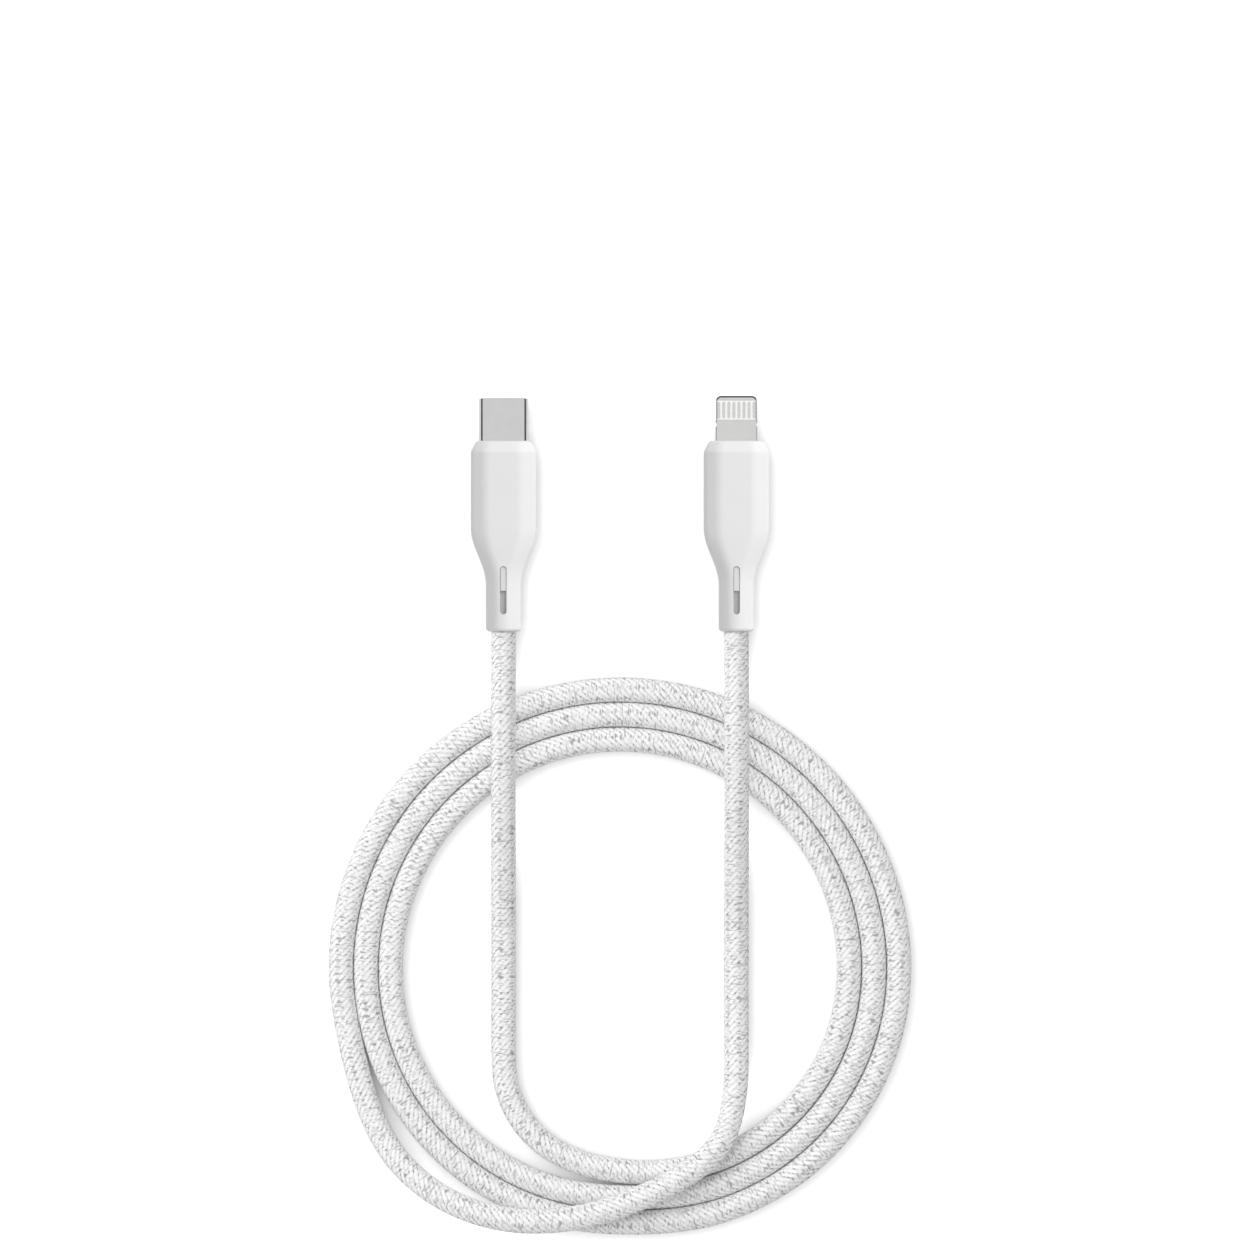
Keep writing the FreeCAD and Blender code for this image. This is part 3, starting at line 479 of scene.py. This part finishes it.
def braid_material():
    """White right-handed yarns with grey flecks, greyer left-handed dots, fine fibres and painted shade in
    the gaps.
    """
    graph = Graph("braid")
    split = graph.tree.nodes.new("ShaderNodeSeparateXYZ")
    graph.put(split.inputs[0], graph.node("ShaderNodeUVMap", {}, uv_map="weave"))
    right, left = split.outputs[0], split.outputs[1]
    along = graph.math("SUBTRACT", right, left)
    ridge_right, fleck_right, fibre_right = yarn_looks(graph, right, along, 0.0)
    ridge_left, fleck_left, fibre_left = yarn_looks(graph, left, along, LEFT_SEED)
    high_right, high_left = yarn_heights(graph, right, left, ridge_right, ridge_left)
    on_top = graph.math("GREATER_THAN", high_right, high_left)
    height = graph.math("MAXIMUM", high_right, high_left)
    tone_right = graph.steps(fleck_right, *FLECKS_RIGHT)
    tone_left = graph.steps(fleck_left, *FLECKS_LEFT)
    tone = graph.node("ShaderNodeMix", {0: on_top, 2: tone_left, 3: tone_right}, data_type="FLOAT")
    fibre = graph.node("ShaderNodeMix", {0: on_top, 2: fibre_left, 3: fibre_right}, data_type="FLOAT")
    # Painted shade: the tone darkens where the relief is low, in the gaps between yarns.
    tone = graph.math("MULTIPLY", tone, graph.steps(height, *GAP_SHADE))
    tone = graph.math("MULTIPLY", tone, graph.steps(fibre, *FIBRE_SHADE))
    colour = graph.node("ShaderNodeCombineColor", {0: tone, 1: tone, 2: tone})
    graph.bump(graph.math("MULTIPLY_ADD", fibre, FIBRE_RELIEF, height), BRAID_BUMP, BRAID_BUMP_STRENGTH)
    return graph.set(Base_Color=colour, Roughness=0.85, Specular_IOR_Level=0.25)


def make_cord():
    """The cord: its spline with a plain core, and the braided sleeves round it."""
    material = braid_material()
    curve = cord_curve(cord_points())
    points, length = centreline(curve, RING_STEP)
    curve.data.bevel_depth = CORE_RADIUS
    curve.data.bevel_resolution = 4
    curve.data.use_fill_caps = True
    curve.data.materials.append(material)
    keep(curve, "cord_fabric", "type_c_lead", "cord_coil", "phone_lead")
    lead = int(STRAIGHT_LEAD / length * len(points))
    last = len(points) - 1
    cuts = [0, *np.linspace(lead, last - lead, COIL_SLEEVES + 1).astype(int), last]
    names = ["type_c_braid", *[f"coil_braid_{number + 1}" for number in range(COIL_SLEEVES)], "phone_braid"]
    for name, first, end in zip(names, cuts[:-1], cuts[1:]):
        keep(sleeve(points, first, end, name, material), "cord_fabric")


# --- Solids in a plug's own frame, in millimetres -------------------------------------------------
def solid(loops, ring=False):
    """A skin over the loops, closed at both ends; a ring joins the last loop to the first instead."""
    count, rows = len(loops[0]), len(loops)
    faces = []
    for row in range(rows if ring else rows - 1):
        low, high = row * count, (row + 1) % rows * count
        for column in range(count):
            step = (column + 1) % count
            faces.append((low + column, low + step, high + step, high + column))
    if not ring:
        faces += [tuple(reversed(range(count))), tuple(range((rows - 1) * count, rows * count))]
    mesh = bpy.data.meshes.new("solid")
    mesh.from_pydata([point for loop in loops for point in loop], [], faces)
    work = bmesh.new()
    work.from_mesh(mesh)
    bmesh.ops.recalc_face_normals(work, faces=work.faces)
    work.to_mesh(mesh)
    work.free()
    return linked("solid", mesh)


def combine(base, others, operation):
    """The base cut by the others (DIFFERENCE) or joined with them (UNION); the others are used up."""
    for other in others:
        modifier = base.modifiers.new("combine", "BOOLEAN")
        modifier.object = other
        modifier.operation = operation
        modifier.solver = "EXACT"
    bpy.context.view_layer.update()
    evaluated = base.evaluated_get(bpy.context.evaluated_depsgraph_get())
    mesh = bpy.data.meshes.new_from_object(evaluated)
    base.modifiers.clear()
    base.data = mesh
    if not mesh.polygons:
        raise RuntimeError("a cut lost the whole solid")
    for other in others:
        bpy.data.objects.remove(other)
    return base


def put(base, name, x, material, sharp=32.0):
    """The solid as a named piece, moved from the plug's own frame to where the plug lies."""
    base.name = name
    mesh = base.data
    mesh.transform(Matrix.Translation((x, FRONT_Y, AXIS_HEIGHT)) @ Matrix.Scale(MM, 4))
    mesh.materials.clear()
    mesh.materials.append(material)
    mesh.shade_smooth()
    mesh.set_sharp_from_angle(angle=math.radians(sharp))
    even = base.modifiers.new("even_normals", "WEIGHTED_NORMAL")
    even.keep_sharp = True
    return base


def box(width, y_back, y_front, z_low, z_high):
    """A block that is even about the axis."""
    half = width / 2
    plan = [(-half, y_back), (half, y_back), (half, y_front), (-half, y_front)]
    return solid([[(x, y, z) for x, y in plan] for z in (z_low, z_high)])


def arc(centre, radius, start, end, steps=8):
    """Points in a plane along an arc, with angles in degrees."""
    angles = [math.radians(start + (end - start) * index / steps) for index in range(steps + 1)]
    return [(centre[0] + radius * math.cos(a), centre[1] + radius * math.sin(a)) for a in angles]


def round_plan(width, y_back, y_front, back_radius, front_radius):
    """A rectangle's outline seen from above, with rounded back and front corners."""
    half, back, front = width / 2, back_radius, front_radius
    outline = (
        arc((half - front, y_front - front), front, 0, 90)
        + arc((-half + front, y_front - front), front, 90, 180)
        + arc((-half + back, y_back + back), back, 180, 270)
        + arc((half - back, y_back + back), back, 270, 360)
    )
    # Where two arcs end at the same point, it is kept once.
    return [point for index, point in enumerate(outline) if math.dist(point, outline[index - 1]) > 1e-6]


def plate(levels):
    """A solid standing on Z whose outlines are given with their heights."""
    return solid([[(x, y, z) for x, y in plan] for z, plan in levels])


def racetrack(size, y, inset=0.0):
    """A loop across the axis: flat top and bottom joined by half circles."""
    radius = size[1] / 2 - inset
    middle = (size[0] - size[1]) / 2
    outline = arc((middle, 0), radius, -90, 90, END_STEPS) + arc((-middle, 0), radius, 90, 270, END_STEPS)
    return [(x, y, z) for x, z in outline]


def polygon_bar(sides, width, y_back, y_front):
    """A bar of regular section along the axis, lying on one of its flats."""
    radius = width / 2 / math.cos(math.pi / sides)
    turn = 180 / sides
    outline = arc((0, 0), radius, turn, 360 + turn, sides)[:-1]
    return solid([[(x, y, z) for x, z in outline] for y in (y_back, y_front)])


# --- Housing --------------------------------------------------------------------------------------
def inset_section(section, inset):
    """The section with each of its eight sides moved inwards."""
    half_width, half_height, half_top, half_side, rounding = section
    slope = math.atan2(half_height - half_side, half_width - half_top)
    top = half_top - inset * math.tan(slope / 2)
    side = half_side - inset * math.tan((math.pi / 2 - slope) / 2)
    return (half_width - inset, half_height - inset, top, side, rounding)


def section_corners(section):
    """The eight corners, across the axis."""
    half_width, half_height, half_top, half_side = section[:4]
    quarter = [(half_top, half_height), (half_width, half_side)]
    corners = quarter + [(x, -z) for x, z in reversed(quarter)]
    corners += [(-x, -z) for x, z in quarter] + [(-x, z) for x, z in reversed(quarter)]
    return [Vector(corner) for corner in corners]


def rounded_loop(section, depth):
    """The eight-sided section with rounded corners, at that depth behind the front face."""
    corners = section_corners(section)
    loop = []
    for index, corner in enumerate(corners):
        before, after = corners[index - 1] - corner, corners[(index + 1) % len(corners)] - corner
        for edge in (before, after):
            edge *= min(section[4] / edge.length, EDGE_SHARE)
        for step in range(EDGE_STEPS + 1):
            share = step / EDGE_STEPS
            x, z = corner + before * (1 - share) ** 2 + after * share**2
            loop.append((x, -depth, z))
    return loop


def housing_outside():
    """Bevelled nose, flat-sided body, S-shaped taper and neck."""
    loops = [rounded_loop(inset_section(BODY_SECTION, inset), depth) for depth, inset in NOSE]
    loops += [rounded_loop(BODY_SECTION, depth) for depth in BODY_LOOPS]
    for index in range(TAPER_STEPS + 1):
        along = index / TAPER_STEPS
        share = (1 - math.cos(math.pi * along)) / 2
        section = [body + (neck - body) * share for body, neck in zip(BODY_SECTION, NECK_SECTION)]
        loops.append(rounded_loop(section, TAPER_START + (TAPER_END - TAPER_START) * along))
    loops.append(rounded_loop(NECK_SECTION, NECK_LOOP))
    loops += [rounded_loop(inset_section(NECK_SECTION, inset), depth) for depth, inset in TAIL]
    return solid(loops)


def slot_plan(width, y_back, y_front):
    """An outline with round ends, seen from above."""
    return round_plan(width, y_back, y_front, width / 2, width / 2)


def is_in_slot(point):
    """Whether a point, in the plug's own frame, is on the slot's floor or walls."""
    in_depth = NECK_SECTION[1] - SLOT_DEPTH - NEAR < point.z < NECK_SECTION[1] - NEAR
    in_width = abs(point.x) < SLOT_WIDTH / 2 + NEAR
    return in_depth and in_width and -SLOT_BACK - NEAR < point.y < -SLOT_FRONT + NEAR


def make_housing(name, x, hole, material, painted_shade):
    """The outer moulding, hollow for what is sealed in it, open at both ends, with the slot in its neck; the
    slot's floor and walls get a darker grey as painted shade.
    """
    room = section_corners(inset_section(BODY_SECTION, SIDE_WALL))
    cavity = solid([[(across, y, up) for across, up in room] for y in (-MOULD_END, -FRONT_WALL)])
    boss = polygon_bar(BOSS_SIDES, BOSS_WIDTH, -BOSS_END, -BOSS_START)
    bore = polygon_bar(BORE_SIDES, BORE_WIDTH, -HOUSING_LENGTH / MM - OVERLAP, -BOSS_END + OVERLAP)
    plan = slot_plan(SLOT_WIDTH, -SLOT_BACK, -SLOT_FRONT)
    slot = plate([(NECK_SECTION[1] - SLOT_DEPTH, plan), (NECK_SECTION[1] + OVERLAP, plan)])
    shell = combine(housing_outside(), [cavity, boss, bore, hole, slot], "DIFFERENCE")
    in_slot = [face.index for face in shell.data.polygons if is_in_slot(face.center)]
    put(shell, name, x, material)
    # The slot's floor and walls take a darker grey: painted shade in the recess.
    shell.data.materials.append(painted_shade)
    for index in in_slot:
        shell.data.polygons[index].material_index = 1
    return keep(shell, "housing_plastic", name.replace("_shell", "_housing"))


def make_inlay(name, x, material):
    """The pale strip in the front half of the slot, with softened edges."""
    floor, top = NECK_SECTION[1] - SLOT_DEPTH, NECK_SECTION[1] - INLAY_DROP
    levels = []
    for z, inset in [(floor, 0.0)] + [(top - depth, inset) for depth, inset in INLAY_RIM]:
        width = SLOT_WIDTH - 2 * (INLAY_GAP + inset)
        back, front = -INLAY_BACK + inset, -SLOT_FRONT - INLAY_GAP - inset
        levels.append((z, round_plan(width, back, front, INLAY_CORNER, width / 2)))
    inlay = put(plate(levels), name, x, material, sharp=50.0)
    return keep(inlay, "inlay_plastic", name.replace("_strip", "_inlay"))


# --- Type-C connector -----------------------------------------------------------------------------
def make_tube(material):
    """Drawn steel tube, open at both ends, with a rolled lip."""
    lip = TUBE_WALL / 2
    loops = [racetrack(TUBE_SIZE, -TAIL_REACH), racetrack(TUBE_SIZE, 0.0)]
    for step in range(LIP_STEPS + 1):
        angle = math.pi * step / LIP_STEPS
        y = TUBE_REACH - lip + lip * math.sin(angle)
        loops.append(racetrack(TUBE_SIZE, y, lip * (1 - math.cos(angle))))
    loops += [racetrack(TUBE_SIZE, 0.0, TUBE_WALL), racetrack(TUBE_SIZE, -TAIL_REACH, TUBE_WALL)]
    keep(put(solid(loops, ring=True), "type_c_drawn_tube", TYPE_C_X, material), "plug_steel", "type_c_tube")


# --- Phone connector ------------------------------------------------------------------------------
def blade_plan(inset):
    """The blade's outline seen from above, moved inwards."""
    width = TONGUE_SIZE[0] - 2 * inset
    return round_plan(width, -TAIL_REACH, TONGUE_REACH - inset, TONGUE_BACK_CORNER, TONGUE_CORNER - inset)


def tongue_blade():
    """Flat blade with rounded corners at its tip; its rims are round at the sides and bevelled in front."""
    levels = []
    half = TONGUE_SIZE[1] / 2
    for side in (-1, 1):
        for step in range(RIM_STEPS + 1)[::side]:
            angle = math.radians(90 * step / RIM_STEPS)
            drop = TONGUE_ROUND * (1 - math.sin(angle))
            round_rim = blade_plan(TONGUE_ROUND * (1 - math.cos(angle)))
            bevelled_rim = blade_plan(TIP_BEVEL[0] * max(1 - drop / TIP_BEVEL[1], 0))
            plan = []
            for (x, y), (bevel_x, bevel_y) in zip(round_rim, bevelled_rim):
                share = min(max((y - TONGUE_REACH + TONGUE_CORNER) / TONGUE_ROUND, 0), 1)
                plan.append((x + (bevel_x - x) * share, y + (bevel_y - y) * share))
            levels.append((side * (half - drop), plan))
    return plate(levels)


def notch(side):
    """Cutter for the flat-bottomed V that the phone's latch drops into."""
    mouth, half = side * BASE_SIZE[0] / 2, NOTCH_WIDTH / 2
    floor = mouth - side * NOTCH_DEPTH
    plan = [(2 * mouth, NOTCH_REACH - half), (mouth, NOTCH_REACH - half), (floor, NOTCH_REACH - half / 2),
            (floor, NOTCH_REACH + half / 2), (mouth, NOTCH_REACH + half), (2 * mouth, NOTCH_REACH + half)]
    return plate([(-THROUGH, plan), (THROUGH, plan)])


def make_tongue(material):
    """Steel frame of the tongue, with a window on each face and a notch in each side."""
    back, front, width = WINDOW
    rim = [racetrack(BASE_SIZE, BASE_REACH - depth, inset) for depth, inset in BASE_RIM]
    base = solid([racetrack(BASE_SIZE, -TAIL_REACH), *rim])
    frame_piece = combine(tongue_blade(), [base], "UNION")
    plan = round_plan(width, back, front, WINDOW_CORNER, WINDOW_CORNER)
    window = plate([(-THROUGH, plan), (THROUGH, plan)])
    room = box(CORE_SIZE[0], -TAIL_REACH - OVERLAP, front, -CORE_SIZE[1] / 2, CORE_SIZE[1] / 2)
    combine(frame_piece, [window, room, notch(1), notch(-1)], "DIFFERENCE")
    keep(put(frame_piece, "phone_tongue", PHONE_X, material), "tongue_steel", "phone_tongue_frame")


def make_core(material):
    """The insulator that shows in the tongue's windows."""
    back, front, width = WINDOW
    plan = round_plan(width - 2 * CORE_GAP, back + CORE_GAP, front - CORE_GAP, WINDOW_CORNER, WINDOW_CORNER)
    faces = plate([(-PAD_SEAT, plan), (PAD_SEAT, plan)])
    half = CORE_SIZE[1] / 2
    slab = box(CORE_SIZE[0] - CORE_GAP, -TAIL_REACH, front - 2 * CORE_GAP, -half, half)
    core = put(combine(faces, [slab], "UNION"), "phone_insulator", PHONE_X, material)
    keep(core, "core_plastic", "phone_contact_core")


def make_pads(name, side, node, material):
    """Eight flat contacts with round ends on one face of the insulator."""
    middle = (WINDOW[0] + WINDOW[1]) / 2
    made = []
    for index in range(PAD_COUNT):
        column = (index - (PAD_COUNT - 1) / 2) * PAD_PITCH
        levels = []
        for z, inset in ((PAD_SEAT, 0.0), (PAD_TOP - PAD_RIM[0], 0.0), (PAD_TOP, PAD_RIM[1])):
            width, length = PAD_SIZE[0] - 2 * inset, PAD_SIZE[1] - 2 * inset
            plan = slot_plan(width, middle - length / 2, middle + length / 2)
            levels.append((side * z, [(x + column, y) for x, y in plan]))
        made.append(plate(levels[::side]))
    with bpy.context.temp_override(active_object=made[0], selected_editable_objects=made):
        bpy.ops.object.join()
    keep(put(made[0], name, PHONE_X, material), "pad_plating", node)


# --- Finishes -------------------------------------------------------------------------------------
def finish(name, colour, roughness, metallic, mottle, patch, grain, depth):
    """A plain finish with faint patches, uneven gloss and fine grain.

    The mottle is how much darker the patches are, patch and grain are counts per metre, and the depth is
    the grain's, in millimetres.
    """
    graph = Graph(name)
    place = graph.place()
    patches = graph.noise(place, patch, detail=3.0, roughness=0.6)
    fine = graph.noise(place, grain)
    dark = tuple(channel * (1 - mottle) for channel in colour) + (1.0,)
    base = graph.mix(graph.steps(patches, *PATCH_EDGE), dark, (*colour, 1.0))
    gloss = graph.steps(fine, *GRAIN_EDGE, roughness - GLOSS_SPREAD, roughness + GLOSS_SPREAD)
    graph.bump(fine, depth * MM)
    return graph.set(Base_Color=base, Roughness=gloss, Metallic=metallic)


def dress(materials):
    """Materials on the model's own nodes that stay, inside the type-C connector and the housings."""
    for part in SEALED_PARTS:
        for plug in ("type_c_", "phone_"):
            materials[plug + part] = materials[part]
    for name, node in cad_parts.items():
        if name in materials:
            node.data.materials.clear()
            node.data.materials.append(materials[name])


def make_finishes():
    """A material for each kind of part, by the kind's or the node's name."""
    spring = finish("spring_steel", (0.58, 0.57, 0.55), 0.3, 1.0, 0.08, 900.0, 9000.0, 0.001)
    gold = finish("contact_plating", (0.85, 0.62, 0.26), 0.25, 1.0, 0.08, 1500.0, 9000.0, 0.001)
    insert = finish("insert_plastic", (0.02, 0.02, 0.022), 0.45, 0.0, 0.2, 900.0, 7000.0, 0.002)
    mould = finish("inner_mould_plastic", (0.55, 0.55, 0.54), 0.6, 0.0, 0.05, 500.0, 5000.0, 0.004)
    return {
        "housing": finish("housing_plastic", (0.8, 0.8, 0.8), 0.42, 0.0, 0.012, 300.0, 7000.0, 0.0015),
        # A darker grey for the slot's floor and walls: painted shade in the recess.
        "painted_shade": finish("slot_painted_shade", (0.53, 0.53, 0.53), 0.5, 0.0, 0.03, 600.0, 7000.0, 0.0015),
        "inlay": finish("inlay_plastic", (0.73, 0.73, 0.73), 0.38, 0.0, 0.02, 900.0, 8000.0, 0.001),
        "tube": finish("plug_steel", (0.74, 0.74, 0.745), 0.12, 1.0, 0.025, 500.0, 9000.0, 0.0003),
        "tongue": finish("tongue_steel", (0.79, 0.785, 0.775), 0.12, 1.0, 0.03, 600.0, 9000.0, 0.0003),
        "core": finish("core_plastic", (0.95, 0.95, 0.945), 0.4, 0.0, 0.02, 900.0, 8000.0, 0.001),
        "pads": finish("pad_plating", (0.84, 0.84, 0.825), 0.3, 1.0, 0.06, 1500.0, 9000.0, 0.0003),
        "type_c_contact_insert": insert,
        "type_c_ground_springs": spring,
        "type_c_side_latch": spring,
        "type_c_upper_contacts": gold,
        "type_c_lower_contacts": gold,
        "inner_mould": mould,
        "shield_can": finish("can_steel", (0.6, 0.6, 0.61), 0.28, 1.0, 0.06, 600.0, 9000.0, 0.001),
        "board": finish("board_laminate", (0.02, 0.16, 0.07), 0.35, 0.0, 0.25, 2500.0, 9000.0, 0.002),
        "board_parts": finish("chip_plastic", (0.03, 0.03, 0.032), 0.5, 0.0, 0.2, 2500.0, 9000.0, 0.002),
        "wires": finish("wire_insulation", (0.5, 0.05, 0.04), 0.45, 0.0, 0.08, 900.0, 7000.0, 0.002),
        "crimp_ferrule": finish("ferrule_brass", (0.72, 0.5, 0.22), 0.32, 1.0, 0.1, 700.0, 9000.0, 0.002),
        "cord_end": finish("cord_jacket", (0.62, 0.62, 0.61), 0.7, 0.0, 0.06, 900.0, 6000.0, 0.004),
    }


def connector_hole(size):
    """Cutter for the hole in a housing's front face, a little larger than the connector."""
    fit = (size[0] + HOLE_PLAY, size[1] + HOLE_PLAY)
    return solid([racetrack(fit, y) for y in (-TAIL_REACH, OVERLAP)])


def make_plugs():
    """Both plugs' housings and connectors."""
    materials = make_finishes()
    housing, painted_shade = materials["housing"], materials["painted_shade"]
    make_housing("type_c_shell", TYPE_C_X, connector_hole(TUBE_SIZE), housing, painted_shade)
    make_housing("phone_shell", PHONE_X, connector_hole(BASE_SIZE), housing, painted_shade)
    make_inlay("type_c_slot_strip", TYPE_C_X, materials["inlay"])
    make_inlay("phone_slot_strip", PHONE_X, materials["inlay"])
    make_tube(materials["tube"])
    make_tongue(materials["tongue"])
    make_core(materials["core"])
    make_pads("phone_top_pads", 1, "phone_upper_contacts", materials["pads"])
    make_pads("phone_bottom_pads", -1, "phone_lower_contacts", materials["pads"])
    dress(materials)


# --- Floor and light ------------------------------------------------------------------------------
def make_floor():
    """A white floor that stays white to the camera and keeps the object's shadow; near the pieces its glow
    fades as a painted contact shadow.
    """
    graph = Graph("floor")
    corners = [(x * FLOOR_HALF, y * FLOOR_HALF, 0.0) for x, y in ((-1, -1), (1, -1), (1, 1), (-1, 1))]
    mesh = bpy.data.meshes.new("floor")
    mesh.from_pydata(corners, [], [(0, 1, 2, 3)])
    mesh.materials.append(graph.material)
    floor = linked("floor", mesh)
    path = graph.tree.nodes.new("ShaderNodeLightPath")
    glow = graph.math("MULTIPLY", path.outputs["Is Camera Ray"], FLOOR_GLOW)
    glow = graph.math("ADD", glow, graph.math("MULTIPLY", path.outputs["Is Glossy Ray"], MIRRORED_GLOW))
    # Ambient occlusion dims the glow near the pieces and between the coil's turns: a painted contact shadow.
    painted_shadow_mask = graph.node("ShaderNodeAmbientOcclusion", {"Distance": CONTACT_REACH}, output=1, samples=4)
    graph.set(Base_Color=grey(FLOOR_GREY), Roughness=0.9, Specular_IOR_Level=0.0, Emission_Color=grey(1.0),
              Emission_Strength=graph.math("MULTIPLY", glow, painted_shadow_mask))
    return floor


def make_sky():
    """Even white light from all round; metal mirrors a sky with a dark band above the horizon instead."""
    bpy.context.scene.view_settings.view_transform = "Standard"
    world = bpy.data.worlds.new("sky")
    bpy.context.scene.world = world
    world.use_nodes = True
    tree = world.node_tree
    background = tree.nodes["Background"]
    background.inputs["Strength"].default_value = 1.0
    direction = tree.nodes.new("ShaderNodeTexCoord")
    split = tree.nodes.new("ShaderNodeSeparateXYZ")
    tree.links.new(direction.outputs["Generated"], split.inputs[0])
    band = tree.nodes.new("ShaderNodeMapRange")
    band.interpolation_type = "SMOOTHSTEP"
    for index, value in enumerate(MIRRORED_SKY):
        band.inputs[index + 1].default_value = value
    tree.links.new(split.outputs[2], band.inputs[0])
    path = tree.nodes.new("ShaderNodeLightPath")
    level = tree.nodes.new("ShaderNodeMix")
    level.data_type = "FLOAT"
    level.inputs[2].default_value = SKY_LEVEL
    tree.links.new(path.outputs["Is Glossy Ray"], level.inputs[0])
    tree.links.new(band.outputs[0], level.inputs[3])
    tree.links.new(level.outputs[0], background.inputs["Color"])


def collected(name, pieces):
    """A collection of the pieces, for a lamp's links."""
    group = bpy.data.collections.new(name)
    for piece in pieces:
        group.objects.link(piece)
    return group


def make_lamp(name, setting, lit, shading=None):
    """A large soft lamp for the lit pieces, which metal doesn't mirror.

    Only the shading pieces block it, or every piece if none are given.
    """
    place, watts = setting
    data = bpy.data.lights.new(name, "AREA")
    data.shape = "DISK"
    data.size = LAMP_SIZE
    data.energy = watts
    lamp = linked(name, data)
    lamp.location = place
    lamp.rotation_mode = "QUATERNION"
    lamp.rotation_quaternion = (Vector((0, VIEW_MIDDLE_Y, 0)) - lamp.location).to_track_quat("-Z", "Y")
    lamp.light_linking.receiver_collection = collected(name + "_lit", lit)
    if shading:
        lamp.light_linking.blocker_collection = collected(name + "_shading", shading)
    lamp.visible_glossy = False


def make_lamps(floor):
    """A lamp for the coil, which the leads don't shade, one for the leads and floor, one for the rest."""
    shown = [piece for piece in bpy.context.scene.objects if piece.type in ("MESH", "CURVE")]
    shown.remove(floor)
    coil = [piece for piece in shown if piece.name.startswith("coil_braid")]
    leads = [piece for piece in shown if piece.name in ("type_c_braid", "phone_braid", "cord_core")]
    make_lamp("coil_lamp", COIL_LAMP, coil, coil)
    make_lamp("lead_lamp", LEAD_LAMP, leads + [floor])
    make_lamp("plug_lamp", PLUG_LAMP, [piece for piece in shown if piece not in coil + leads])


make_camera()
make_cord()
make_plugs()
floor = make_floor()
make_sky()
make_lamps(floor)
